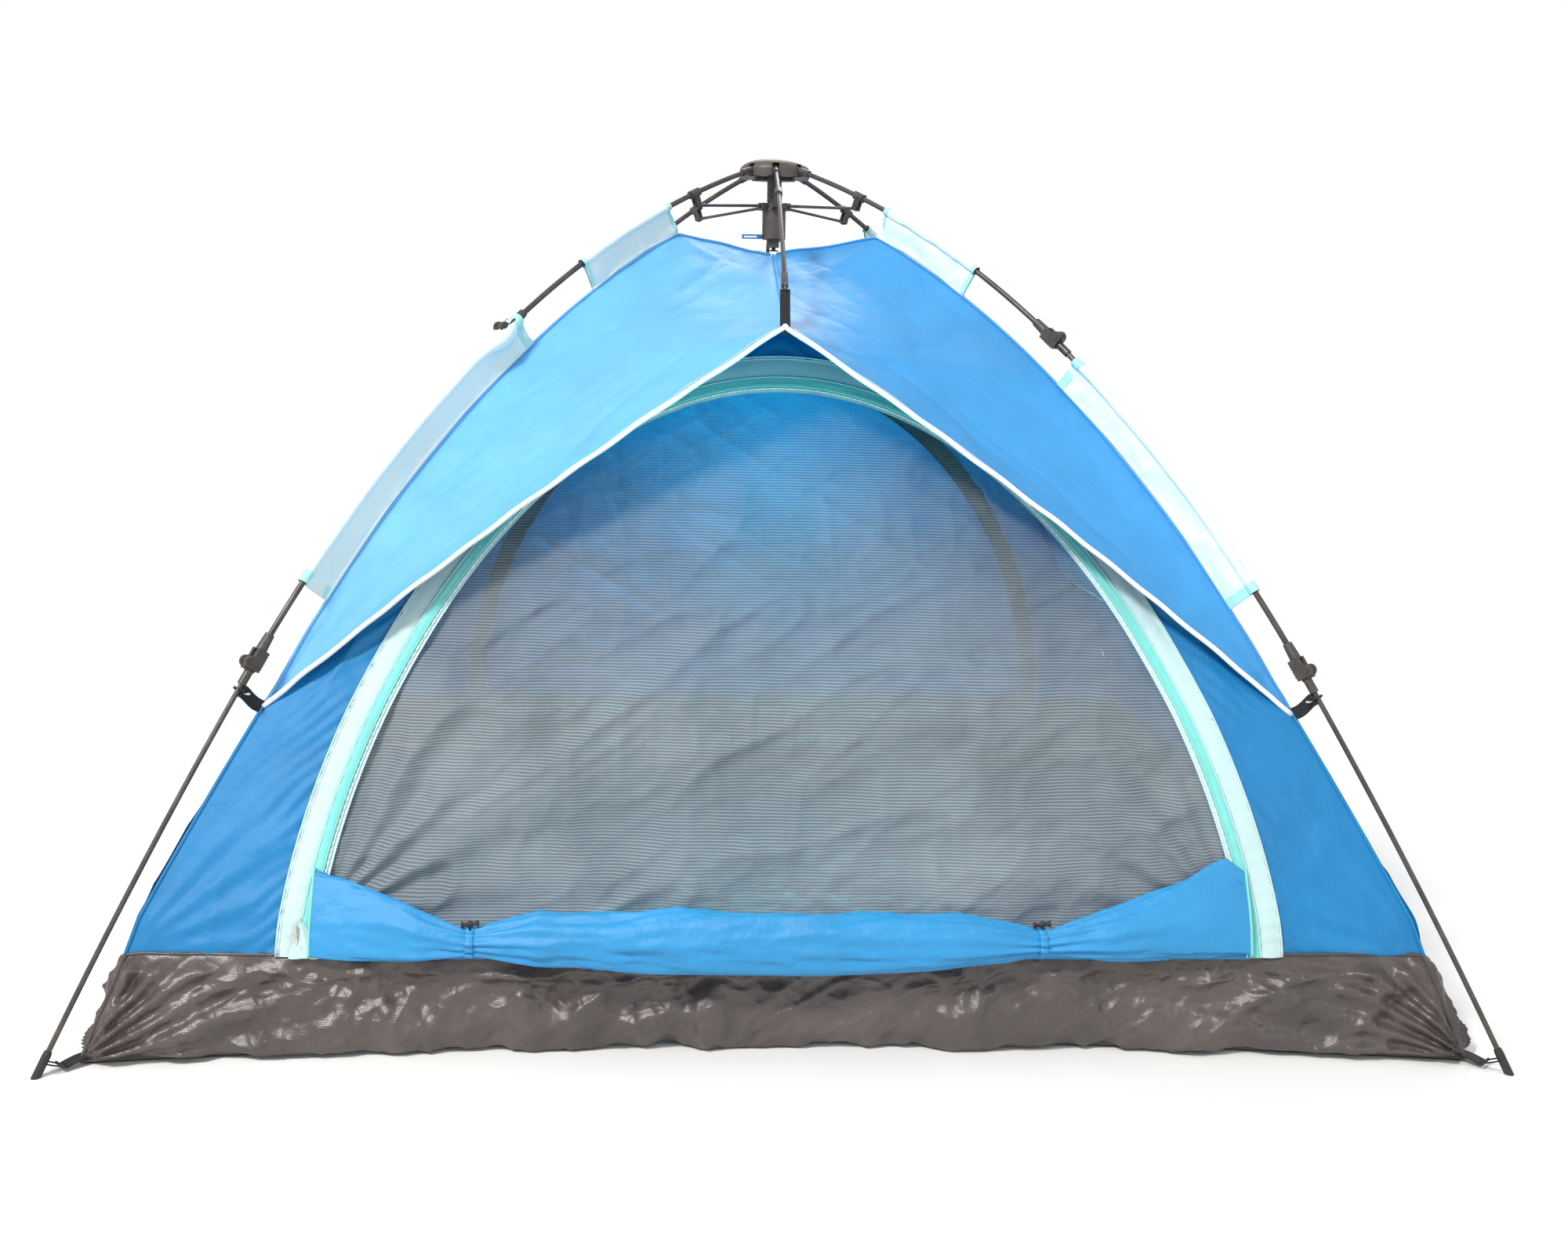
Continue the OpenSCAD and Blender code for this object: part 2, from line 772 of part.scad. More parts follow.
// Webbing at each corner of the floor and the short cord that ties it to the foot
module corner_tabs() {
    floor_r = floor_half * sqrt(2);
    foot_r = point_at(lower, 1)[0];
    strap = [40, 25, 2.4];
    lap = 8;
    cord_d = 2.6;
    strap_end = floor_r - lap + strap[0];
    for (turn = leg_turns) turned(turn) {
        color("#222222") translate([floor_r - lap, -strap[1] / 2, floor_t + 0.3]) cube(strap);
        color("#222222") translate([strap_end - 1, 0, floor_t + 0.3 + strap[2] / 2]) rotate([0, 90, 0])
            cylinder(d = cord_d, h = foot_r - 16 - strap_end + 1);
    }
}

// Loop that hangs each canopy point from the hook on its arm: two runs joined round the hook's bar
module apex_loops() {
    hook = point_at(arm, 1) - 2 * [cos(arm_slope + arm_bend), -sin(arm_slope + arm_bend)];
    foot = [apex_y - 10, apex_z + 5];
    reach = hook - foot;
    lean = atan2(reach[0], reach[1]);
    top = norm(reach) - 3.8;
    run_y = hook_bar_r + 0.6;
    for (turn = [front, back]) turned(turn)
        color("#222222") translate([foot[0], 0, foot[1]]) rotate([0, lean, 0])
            difference() {
                translate([-2, -run_y - 1.6, 0]) cube([4, 2 * (run_y + 1.6), top]);
                translate([-3, -run_y, 3]) cube([6, 2 * run_y, top - 3 - 1.4]);
            }
}

hub_crown();
crown_pins();
hub_column();
column_end_cap();
canopy_hook();
runner();
runner_pins();
runner_pull_tab();
strut(front_right);  // strut_front_right
strut(back_right);  // strut_back_right
strut(back_left);  // strut_back_left
strut(front_left);  // strut_front_left
strut(front);  // strut_front
strut(back);  // strut_back
arm_piece(front);  // front_arm
arm_piece(back);  // back_arm
upper_leg(front_right);  // upper_leg_front_right
upper_leg(back_right);  // upper_leg_back_right
upper_leg(back_left);  // upper_leg_back_left
upper_leg(front_left);  // upper_leg_front_left
elbow(upper, front_right);  // upper_elbow_front_right
elbow(upper, back_right);  // upper_elbow_back_right
elbow(upper, back_left);  // upper_elbow_back_left
elbow(upper, front_left);  // upper_elbow_front_left
middle_leg(front_right);  // middle_leg_front_right
middle_leg(back_right);  // middle_leg_back_right
middle_leg(back_left);  // middle_leg_back_left
middle_leg(front_left);  // middle_leg_front_left
elbow(middle, front_right);  // lower_elbow_front_right
elbow(middle, back_right);  // lower_elbow_back_right
elbow(middle, back_left);  // lower_elbow_back_left
elbow(middle, front_left);  // lower_elbow_front_left
lower_leg(front_right);  // lower_leg_front_right
lower_leg(back_right);  // lower_leg_back_right
lower_leg(back_left);  // lower_leg_back_left
lower_leg(front_left);  // lower_leg_front_left
foot(front_right);  // foot_front_right
foot(back_right);  // foot_back_right
foot(back_left);  // foot_back_left
foot(front_left);  // foot_front_left
groundsheet();
tub_wall();
left_wall();
right_wall();
front_wall();
back_wall();
front_door_band();
mesh_door();
back_door_band();
back_door_panel();
canopy_left();
canopy_right();
upper_sleeves();
middle_sleeves();
door_roll();
door_ties();
zip_slider();
leg_clips();
corner_tabs();
apex_loops();
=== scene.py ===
"""Looks of a pop up tent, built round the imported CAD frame. All sizes are in metres."""
import json
import math

import bmesh
import bpy
import numpy as np
from mathutils import Matrix, Vector


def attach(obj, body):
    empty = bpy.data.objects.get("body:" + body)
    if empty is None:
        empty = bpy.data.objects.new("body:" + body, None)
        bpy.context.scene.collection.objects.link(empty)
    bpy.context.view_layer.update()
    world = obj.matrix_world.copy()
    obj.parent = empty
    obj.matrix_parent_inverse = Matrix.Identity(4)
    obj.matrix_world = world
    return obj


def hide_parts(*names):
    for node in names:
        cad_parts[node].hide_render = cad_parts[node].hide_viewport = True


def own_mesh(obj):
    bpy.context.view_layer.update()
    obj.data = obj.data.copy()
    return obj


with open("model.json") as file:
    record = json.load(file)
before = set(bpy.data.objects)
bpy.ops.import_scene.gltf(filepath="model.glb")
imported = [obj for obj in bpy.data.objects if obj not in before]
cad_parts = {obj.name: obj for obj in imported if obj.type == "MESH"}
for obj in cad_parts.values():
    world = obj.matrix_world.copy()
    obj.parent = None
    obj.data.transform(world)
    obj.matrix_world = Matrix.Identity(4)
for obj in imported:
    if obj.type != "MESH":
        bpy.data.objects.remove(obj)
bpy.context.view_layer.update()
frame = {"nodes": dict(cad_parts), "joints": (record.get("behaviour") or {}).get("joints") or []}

# ---------------- driving sizes

LEG_TURNS = {"front_right": 315, "back_right": 45, "back_left": 135, "front_left": 225}
LEG_GAP = 0.055  # between a leg's centre line and the ridge of the cloth
SEAM_Z = 0.150  # the seam between the tub and the walls
SEAM_HALF = 0.998  # from the middle to that seam, square on
FLOOR_HALF = 1.052  # from the middle to a floor corner, along either side
FLOOR_SAG = 0.075  # how far each floor edge curves in
CANOPY_TOP = np.array([0.0, 0.0, 1.266])
APEX = np.array([0.0, -0.620, 1.110])  # the canopy's front point
PORCH_HALF = 0.475  # ridge half width level with the apex
EAVE_T = 0.07  # where on the lower tube the canopy's corner ends
DOOR_HALF, DOOR_H, DOOR_FOOT = 0.725, 0.855, 0.158  # the door's half width, height and foot
DOOR_STRAIGHT = 1.2  # how far the door's sides are drawn straight, where 1 is a half ellipse
BAND_W = 0.048  # the binding round a door
WALL_FOOT = SEAM_Z - 0.001  # where walls and the back door tuck behind the tub's seam


class Tube:
    """A bent tube in a leg's upright plane, where points are (distance from the axis, height).

    Its slope at the middle and its half bend are in degrees, and t runs along it from 0 to 1."""

    def __init__(self, start, slope, length, bend):
        self.start, self.slope, self.bend = np.array(start, float), slope, bend
        self.radius = length / (2 * math.sin(math.radians(bend)))
        self.centre = self.start - self.radius * self.outward(0.0)
        self.length = length

    def angle(self, t):
        return np.radians(self.slope - self.bend + 2 * self.bend * np.asarray(t, float))

    def outward(self, t):
        a = self.angle(t)
        return np.stack([np.sin(a), np.cos(a)], -1)

    def at(self, t, gap=0.0):
        gap = np.asarray(gap, float)
        return self.centre + (self.radius - gap[..., None]) * self.outward(t)


def joint(name):
    return next(j for j in frame["joints"] if j["name"] == name)


hub = joint("leg_fold_front_right")["pos_m"]
UPPER = Tube((math.hypot(hub[0], hub[1]), hub[2]), 28.0, 0.718, 10.5)
MIDDLE = Tube(UPPER.at(1.0), 46.5, 0.727, 8.0)
LOWER = Tube(MIDDLE.at(1.0), 57.0, MIDDLE.at(1.0)[1] / math.sin(math.radians(57.0)), 2.5)
ARM = Tube(UPPER.start, 26.0, 0.600, 8.0)


def ridge_points():
    """The cloth's ridge from near the hub down to the tub seam, as (half width, height)."""
    upper = UPPER.at(np.linspace(0.36, 1, 40), LEG_GAP)
    middle = MIDDLE.at(np.linspace(0, 1, 50)[1:], LEG_GAP)
    t = np.linspace(0.01, 0.62, 40)
    lower = LOWER.at(t, LEG_GAP - 0.030 * t)
    points = np.concatenate([upper, middle, lower]) * [1 / math.sqrt(2), 1]
    points = points[points[:, 1] > SEAM_Z + 0.02]
    return np.concatenate([points, [[SEAM_HALF, SEAM_Z]]])


RIDGE = ridge_points()
EAVE_Z = float(LOWER.at(EAVE_T, LEG_GAP)[1])


def half_at(z):
    """Half width between the ridges at a height."""
    return np.interp(z, RIDGE[::-1, 1], RIDGE[::-1, 0])


EAVE_HALF = float(half_at(EAVE_Z))
CORNER = np.array([-EAVE_HALF, -EAVE_HALF, EAVE_Z])

# ---------------- small tools

BEHIND = np.array([1, -1, 1])  # mirrors front to back
NOISE_VALUES = 4096  # in each noise table


def lerp(a, b, t):
    return a + (b - a) * t


def unit(x):
    return np.clip(x, 0, 1)


def norm(P):
    return np.linalg.norm(P, axis=-1)


class Noise:
    """Smooth seeded value noise on numpy arrays."""

    def __init__(self, seed):
        self.table = np.random.default_rng(seed).uniform(-1, 1, NOISE_VALUES)

    def _lattice(self, i, j, k):
        return self.table[(i * 73 + j * 1217 + k * 2531) % NOISE_VALUES]

    def __call__(self, p, scale=1.0):
        q = np.asarray(p, float) / scale
        i = np.floor(q).astype(int)
        f = q - i
        f = f * f * (3 - 2 * f)
        total = 0
        for dx, dy, dz in np.ndindex(2, 2, 2):
            w = np.abs(1 - dx - f[..., 0]) * np.abs(1 - dy - f[..., 1]) * np.abs(1 - dz - f[..., 2])
            total = total + w * self._lattice(i[..., 0] + dx, i[..., 1] + dy, i[..., 2] + dz)
        return total

    def layers(self, p, scale, count=3):
        return sum(self(np.asarray(p) + 7.7 * k, scale / 2**k) / 2**k for k in range(count))

    def creases(self, p, scale, count=2):
        """Sharp folded lines, from 0 to about 1."""
        p = np.asarray(p)
        return sum((1 - np.abs(self(p + 3.1 * k, scale / 2**k))) ** 5 / 2**k for k in range(count))

    def facets(self, p, scale):
        """Distance to the nearest of scattered points: flat faces with sharp ridges between them."""
        q = np.asarray(p, float) / scale
        cell = np.floor(q).astype(int)
        best = np.full(q.shape[:-1], 9.0)
        for shift in np.ndindex(3, 3, 3):
            i, j, k = (cell[..., axis] + shift[axis] - 1 for axis in range(3))
            point = np.stack([i, j, k], -1) + 0.5 + 0.45 * np.stack(
                [self._lattice(i + offset, j, k) for offset in (0, 311, 709)], -1)
            best = np.minimum(best, norm(q - point))
        return best


def grid_normals(P):
    n = np.cross(np.gradient(P, axis=0), np.gradient(P, axis=1))
    return n / np.maximum(np.linalg.norm(n, axis=-1, keepdims=True), 1e-9)


def outward_normals(P):
    """Normals of a sheet on the front side, all turned to face forward."""
    N = grid_normals(P)
    return N * np.sign(-N[..., 1:2] + 1e-9)


def add_object(name, data):
    obj = bpy.data.objects.new(name, data)
    bpy.context.scene.collection.objects.link(obj)
    return obj


def smooth(mesh):
    mesh.polygons.foreach_set("use_smooth", [True] * len(mesh.polygons))


def shell(name, P, faces, material):
    mesh = bpy.data.meshes.new(name)
    mesh.from_pydata(P.reshape(-1, 3).tolist(), [], faces)
    mesh.materials.append(material)
    smooth(mesh)
    return add_object(name, mesh)


def grid(name, P, material, flip=False, weld=False):
    """Surface over an array of points (rows, columns, 3)."""
    rows, cols = P.shape[:2]
    faces = []
    for i in range(rows - 1):
        for j in range(cols - 1):
            a, d = i * cols + j, (i + 1) * cols + j
            faces.append((a, d, d + 1, a + 1) if flip else (a, a + 1, d + 1, d))
    obj = shell(name, P, faces, material)
    if weld:
        b = bmesh.new()
        b.from_mesh(obj.data)
        bmesh.ops.remove_doubles(b, verts=b.verts, dist=0.0002)
        b.to_mesh(obj.data)
        b.free()
        smooth(obj.data)
    return obj


def bar(name, rings, material):
    """Bar closed at both ends, over an array of points (rings, points round a ring, 3)."""
    n, sides = rings.shape[:2]
    faces = []
    for i in range(n - 1):
        for j in range(sides):
            here, after = i * sides + j, i * sides + (j + 1) % sides
            faces.append((here, after, after + sides, here + sides))
    faces += [tuple(range(sides))[::-1], tuple((n - 1) * sides + j for j in range(sides))]
    return shell(name, rings, faces, material)


def normals_along(path):
    """Two smooth unit normals at each point of a path."""
    tangent = np.gradient(path, axis=0)
    tangent /= np.linalg.norm(tangent, axis=1, keepdims=True)
    side = np.cross(tangent[0], [0.0, 0.0, 1.0])
    if np.linalg.norm(side) < 1e-3:
        side = np.array([1.0, 0.0, 0.0])
    sides = []
    for t in tangent:
        side = side - t * side.dot(t)
        side = side / np.linalg.norm(side)
        sides.append(side)
    return np.array(sides), np.cross(tangent, sides)


def pipe(name, path, radius, material, sides=8):
    """Round bar along a path."""
    path = np.asarray(path, float)
    a, b = normals_along(path)
    angle = np.linspace(0, 2 * np.pi, sides, endpoint=False)[None, :, None]
    ring = np.cos(angle) * a[:, None] + np.sin(angle) * b[:, None]
    r = np.broadcast_to(radius, len(path))[:, None, None]
    return bar(name, path[:, None] + ring * r, material)


def ribbon(name, path, across, width, thickness, material):
    """Flat strap with eased edges along a path; across is the width's direction."""
    tangent = np.gradient(path, axis=0)
    up = np.cross(tangent, np.broadcast_to(across, path.shape))
    up = up / np.linalg.norm(up, axis=1, keepdims=True)
    w, t = across * width / 2, up * thickness / 2
    flat, edge = 0.94, 0.8  # shares of the half width and half thickness where the edges begin
    section = [(-1, -edge), (-flat, -1), (flat, -1), (1, -edge), (1, edge), (flat, 1), (-flat, 1), (-1, edge)]
    return bar(name, np.stack([path + (w * x + t * y) for x, y in section], 1), material)


def turned(P, degrees):
    a = math.radians(degrees)
    m = np.array([[math.cos(a), -math.sin(a), 0], [math.sin(a), math.cos(a), 0], [0, 0, 1]])
    return np.asarray(P) @ m.T


def in_leg_plane(r, z, side=0.0):
    """3-D points from distances from the axis, heights and sideways places, before any turn."""
    return np.stack(np.broadcast_arrays(r, side, z), -1)


def soft(obj, body="root"):
    """A soft piece rides on a body, with a mesh of its own."""
    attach(obj, body)
    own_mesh(obj)
    return obj


def area_of(obj):
    return sum(p.area for p in obj.data.polygons)


def cloth(obj, node=None, area=None, body="root", with_pieces=()):
    """A soft piece that rides on a body and stands for a node, which it hides."""
    soft(obj, body)
    if node:
        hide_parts(node)
    area = area or area_of(obj)
    list(with_pieces)


# ---------------- materials


def srgb(r, g, b):
    def lin(c):
        c /= 255
        return c / 12.92 if c <= 0.04045 else ((c + 0.055) / 1.055) ** 2.4

    return (lin(r), lin(g), lin(b), 1.0)


def scaled(colour, k):
    return tuple(min(1.0, c * k) for c in colour[:3]) + (1.0,)


def put(node, **values):
    """Sets a node's sockets by name, with an underscore for each space."""
    for key, value in values.items():
        node.inputs[key.replace("_", " ")].default_value = value


class Nodes:
    """A material under construction: short ways to add and join its shader nodes."""

    def __init__(self, name):
        self.mat = bpy.data.materials.new(name)
        self.mat.use_nodes = True
        self.tree = self.mat.node_tree
        self.bsdf = self.tree.nodes["Principled BSDF"]
        self.coord = self.tree.nodes.new("ShaderNodeTexCoord").outputs["Object"]

    def node(self, kind, **values):
        n = self.tree.nodes.new(kind)
        for key, value in values.items():
            setattr(n, key, value)
        return n

    def link(self, a, b):
        self.tree.links.new(a, b)

    def noise(self, scale, detail=3.0, rough=0.55):
        n = self.node("ShaderNodeTexNoise")
        put(n, Scale=scale, Detail=detail, Roughness=rough)
        self.link(self.coord, n.inputs["Vector"])
        return n.outputs["Fac"]

    def facets(self, scale):
        """Flat crumpled faces with sharp ridges between them."""
        warp = self.node("ShaderNodeTexNoise")
        put(warp, Scale=scale * 0.35)
        self.link(self.coord, warp.inputs["Vector"])
        mixed = self.node("ShaderNodeVectorMath", operation="MULTIPLY_ADD")
        mixed.inputs[1].default_value = (0.12, 0.12, 0.12)
        self.link(warp.outputs["Color"], mixed.inputs[0])
        self.link(self.coord, mixed.inputs[2])
        n = self.node("ShaderNodeTexVoronoi")
        put(n, Scale=scale)
        self.link(mixed.outputs["Vector"], n.inputs["Vector"])
        return n.outputs["Distance"]

    def wave(self, scale, direction, distortion=0.0):
        n = self.node("ShaderNodeTexWave", bands_direction=direction)
        put(n, Scale=scale, Distortion=distortion)
        self.link(self.coord, n.inputs["Vector"])
        return n.outputs["Fac"]

    def weave(self, scale, across, along, strength):
        """Normal of a fine plain weave."""
        threads = self.math("ADD", self.wave(scale, across), self.wave(scale, along))
        return self.bump(threads, strength, 0.0004)

    def math(self, op, a, b):
        n = self.node("ShaderNodeMath", operation=op)
        for k, v in enumerate((a, b)):
            if isinstance(v, float):
                n.inputs[k].default_value = v
            else:
                self.link(v, n.inputs[k])
        return n.outputs["Value"]

    def ranged(self, value, **limits):
        n = self.node("ShaderNodeMapRange")
        put(n, **limits)
        self.link(value, n.inputs["Value"])
        return n.outputs["Result"]

    def bump(self, height, strength, distance, normal=None):
        n = self.node("ShaderNodeBump")
        put(n, Strength=strength, Distance=distance)
        self.link(height, n.inputs["Height"])
        if normal is not None:
            self.link(normal, n.inputs["Normal"])
        return n.outputs["Normal"]

    def tint(self, fac, *stops):
        """Base colour from two stops, each a place in the pattern and a colour."""
        n = self.node("ShaderNodeValToRGB")
        for element, (place, colour) in zip(n.color_ramp.elements, stops):
            element.position = place
            element.color = colour
        self.link(fac, n.inputs["Fac"])
        self.link(n.outputs["Color"], self.bsdf.inputs["Base Color"])

    def rough(self, fac, low, high):
        self.link(self.ranged(fac, To_Min=low, To_Max=high), self.bsdf.inputs["Roughness"])

    def relief(self, normal):
        self.link(normal, self.bsdf.inputs["Normal"])


def cloth_material(name, colour, rough=(0.42, 0.6), crease=0.5, sheen=0.25, vary=0.12, weave=0.25):
    """Thin coated polyester: a fine weave, soft creases and a slightly uneven colour."""
    n = Nodes(name)
    n.tint(n.noise(5.0, 4.0), (0.25, scaled(colour, 1 - vary)), (0.75, scaled(colour, 1 + vary)))
    n.rough(n.noise(30.0), *rough)
    small = n.bump(n.noise(38.0, 5.0, 0.6), crease * 0.5, 0.004, n.weave(260.0, "X", "Z", weave))
    n.relief(n.bump(n.noise(9.0, 4.0, 0.5), crease, 0.010, small))
    put(n.bsdf, Sheen_Weight=sheen, Sheen_Roughness=0.4, Specular_IOR_Level=0.45)
    return n.mat


def mesh_material():
    """See-through grey netting with fine level ribs, painted more see-through towards its top as painted
    shade from the porch above.
    """
    n = Nodes("door_netting")
    ribs = n.wave(72.0, "Z", 0.12)
    tone = n.math("ADD", n.math("MULTIPLY", ribs, 0.35), n.math("MULTIPLY", n.noise(6.0), 0.65))
    n.tint(tone, (0.2, srgb(134, 146, 156)), (0.8, srgb(184, 196, 206)))
    parts = n.node("ShaderNodeSeparateXYZ")
    n.link(n.coord, parts.inputs["Vector"])
    # painted shade: the netting's alpha falls towards its top, so the dark inside shows through where the
    # porch shades it
    porch_shade_by_height = n.ranged(parts.outputs["Z"], From_Min=0.50, From_Max=0.98, To_Min=0.36, To_Max=0.04)
    n.link(n.math("ADD", porch_shade_by_height, n.math("MULTIPLY", ribs, 0.16)), n.bsdf.inputs["Alpha"])
    put(n.bsdf, Roughness=0.6, Sheen_Weight=0.3)
    n.relief(n.bump(ribs, 0.3, 0.001))
    return n.mat


def floor_cloth_material():
    """Dark coated groundsheet: crumpled, with broad soft shine."""
    n = Nodes("groundsheet_coated")
    n.tint(n.noise(4.0, 5.0), (0.3, srgb(60, 53, 51)), (0.7, srgb(92, 83, 80)))
    n.rough(n.noise(14.0, 4.0), 0.26, 0.44)
    small = n.bump(n.noise(45.0, 4.0, 0.6), 0.35, 0.004, n.weave(200.0, "X", "Y", 0.2))
    broad = n.bump(n.facets(13.0), 0.55, 0.012, small)
    n.relief(n.bump(n.facets(34.0), 0.5, 0.005, broad))
    put(n.bsdf, Specular_IOR_Level=0.7)
    return n.mat


def plastic_material(name, colour, rough=0.42):
    """Moulded plastic with a fine satin grain and paler worn patches."""
    n = Nodes(name)
    n.tint(n.noise(60.0, 5.0), (0.35, scaled(colour, 0.85)), (0.75, scaled(colour, 1.3)))
    n.rough(n.noise(90.0), rough - 0.07, rough + 0.12)
    n.relief(n.bump(n.noise(700.0, 2.0), 0.25, 0.0004))
    return n.mat


def tube_material():
    """Dark painted steel tube."""
    n = Nodes("painted_tube")
    n.tint(n.noise(35.0, 4.0), (0.3, srgb(66, 60, 56)), (0.8, srgb(98, 90, 84)))
    n.rough(n.noise(80.0), 0.28, 0.46)
    put(n.bsdf, Metallic=0.35)
    n.relief(n.bump(n.noise(400.0, 2.0), 0.12, 0.0003))
    return n.mat


def steel_material():
    """Bright steel of the pins."""
    n = Nodes("rivet_steel")
    n.tint(n.noise(200.0), (0.3, srgb(165, 165, 168)), (0.8, srgb(215, 215, 218)))
    n.rough(n.noise(300.0), 0.22, 0.4)
    put(n.bsdf, Metallic=1.0)
    return n.mat


def webbing_material(name, colour):
    """Woven strap: raised diagonal ribs."""
    n = Nodes(name)
    ribs = n.wave(420.0, "DIAGONAL")
    n.tint(ribs, (0.2, scaled(colour, 0.6)), (0.9, scaled(colour, 1.3)))
    n.rough(n.noise(100.0), 0.6, 0.8)
    n.relief(n.bump(ribs, 0.6, 0.0008))
    put(n.bsdf, Sheen_Weight=0.05)
    return n.mat


# the two canopy halves are one cloth: the left half's colour is painted paler as painted light, the right
# half's darker as painted shade
canopy_lit_mat = cloth_material("canopy_painted_lit", srgb(98, 172, 226), crease=0.45, sheen=0.1)
canopy_shaded_mat = cloth_material("canopy_painted_shade", srgb(60, 146, 208), crease=0.45, sheen=0.06)
wall_mat = cloth_material("wall_blue", srgb(16, 120, 178), crease=0.55, sheen=0.04)
roll_mat = cloth_material("roll_blue", srgb(44, 142, 200), rough=(0.34, 0.5), crease=0.9, sheen=0.06)
mint_mat = cloth_material("mint_binding", srgb(188, 216, 217), rough=(0.5, 0.65), crease=0.35, vary=0.05)
sleeve_mat = cloth_material("sleeve_pale", srgb(216, 233, 234), rough=(0.5, 0.65), crease=0.5, vary=0.05)
aqua_mat = cloth_material("aqua_hem", srgb(122, 208, 202), rough=(0.5, 0.65), crease=0.2, vary=0.06)
hem_mat = cloth_material("sleeve_hem", srgb(166, 224, 218), rough=(0.5, 0.65), crease=0.2, vary=0.06)
white_mat = cloth_material("white_piping", srgb(236, 240, 242), rough=(0.5, 0.7), crease=0.1, vary=0.04)
edge_mat = cloth_material("dark_edge", srgb(44, 44, 48), rough=(0.5, 0.7), crease=0.3)
sheet_mat = floor_cloth_material()
net_mat = mesh_material()
hub_mat = plastic_material("hub_plastic_moulded", srgb(78, 71, 66))
elbow_mat = plastic_material("elbow_plastic_moulded", srgb(70, 64, 60), 0.46)
foot_mat = plastic_material("foot_plastic_moulded", srgb(40, 37, 35), 0.55)
tube_mat = tube_material()
steel_mat = steel_material()
strap_mat = webbing_material("black_webbing", srgb(20, 19, 22))
thread_mat = cloth_material("pale_thread", srgb(222, 236, 240), crease=0.0, vary=0.03, weave=0.1)
zip_mat = plastic_material("zip_painted", srgb(196, 196, 194), 0.35)

# ---------------- camera, light and ground


def add_camera():
    """The photograph's viewing angle: low, in front and a little to the left of the middle."""
    lens_factor = 1.052  # focal length over frame width
    place = (-0.120, -3.419, 1.046)
    heading, pitch, roll = -0.045, 0.1574, 0.0165  # radians
    data = bpy.data.cameras.new("camera")
    data.sensor_width = 36.0
    data.lens = 36.0 * lens_factor
    camera = add_object("camera", data)
    ahead = np.array([-math.sin(heading), math.cos(heading), 0.0])
    forward = ahead * math.cos(pitch) + np.array([0, 0, -math.sin(pitch)])
    level = np.array([math.cos(heading), math.sin(heading), 0.0])
    upright = np.cross(level, forward)
    right = math.cos(roll) * level + math.sin(roll) * upright
    up = np.cross(right, forward)
    turn = Matrix(np.column_stack([right, up, -forward]).tolist()).to_4x4()
    camera.matrix_world = Matrix.Translation(place) @ turn
    bpy.context.scene.camera = camera


def add_light(name, place, size, power, colour=(1, 1, 1)):
    """Round soft light turned to the middle of the tent."""
    data = bpy.data.lights.new(name, "AREA")
    data.shape = "DISK"
    data.size, data.energy, data.color = size, power, colour
    lamp = add_object(name, data)
    lamp.location = place
    lamp.rotation_mode = "QUATERNION"
    target = Vector((0, 0, 0.6)) - Vector(place)
    lamp.rotation_quaternion = target.to_track_quat("-Z", "Y")


def add_lamp_inside(name, place, power, size):
    """Blue daylight that the thin cloth lets through."""
    data = bpy.data.lights.new(name, "POINT")
    data.energy, data.shadow_soft_size, data.color = power, size, (0.05, 0.88, 0.90)
    lamp = add_object(name, data)
    lamp.visible_camera = False
    lamp.location = place


def add_studio():
    scene = bpy.context.scene
    scene.view_settings.view_transform = "Standard"
    world = bpy.data.worlds.new("studio")
    scene.world = world
    world.use_nodes = True
    back = world.node_tree.nodes["Background"]
    put(back, Color=(1, 1, 1, 1))
    # the backdrop is seen white, and lights the tent more softly than that
    links, nodes = world.node_tree.links, world.node_tree.nodes
    seen = nodes.new("ShaderNodeLightPath").outputs["Is Camera Ray"]
    level = nodes.new("ShaderNodeMapRange")
    put(level, To_Min=0.70, To_Max=1.0)
    links.new(seen, level.inputs["Value"])
    links.new(level.outputs["Result"], back.inputs["Strength"])
    add_light("key", (-3.4, -4.4, 6.0), 1.4, 500, (1.0, 0.98, 0.95))
    add_light("fill", (4.5, -4.5, 3.5), 4.0, 50, (0.95, 0.98, 1.0))
    add_light("rim", (1.0, 5.5, 4.5), 3.0, 150)
    add_lamp_inside("through_cloth", (0, 0.15, 0.70), 15, 0.30)
    add_lamp_inside("under_porch", (0, -0.76, 0.93), 1.5, 0.12)
    # the floor thins out into the pale studio
    n = Nodes("pale_floor")
    n.tint(n.noise(1.2, 4.0), (0.3, (0.80, 0.80, 0.79, 1)), (0.7, (0.84, 0.84, 0.83, 1)))
    put(n.bsdf, Roughness=0.85)
    reach = n.node("ShaderNodeVectorMath", operation="LENGTH")
    n.link(n.coord, reach.inputs[0])
    fade = n.node("ShaderNodeMapRange", interpolation_type="SMOOTHSTEP")
    put(fade, From_Min=1.9, From_Max=4.2, To_Min=1.0, To_Max=0.0)
    n.link(reach.outputs["Value"], fade.inputs["Value"])
    n.link(fade.outputs["Result"], n.bsdf.inputs["Alpha"])
    side = np.linspace(-4.5, 4.5, 3)
    P = np.stack(np.meshgrid(side, side, indexing="ij") + [np.full((3, 3), -0.0005)], -1)
    grid("pale_ground", P, n.mat)


add_camera()
add_studio()

# ---------------- canopy

EAVE_BOW = 0.020  # how far the eave lifts above a straight line
PORCH_COLS = 90  # columns of points from the top seam to a leg's ridge


def seam_point(h):
    """On the ridge seam, then on the eave, level with a ridge point of half width h."""
    on_seam = lerp(CANOPY_TOP, APEX, unit(h / PORCH_HALF)[..., None])
    s = unit((h - PORCH_HALF) / (EAVE_HALF - PORCH_HALF))[..., None]
    on_eave = lerp(APEX, CORNER, s)
    on_eave = on_eave + [0, 0, EAVE_BOW] * np.sin(np.pi * s)
    return np.where(s > 0, on_eave, on_seam)


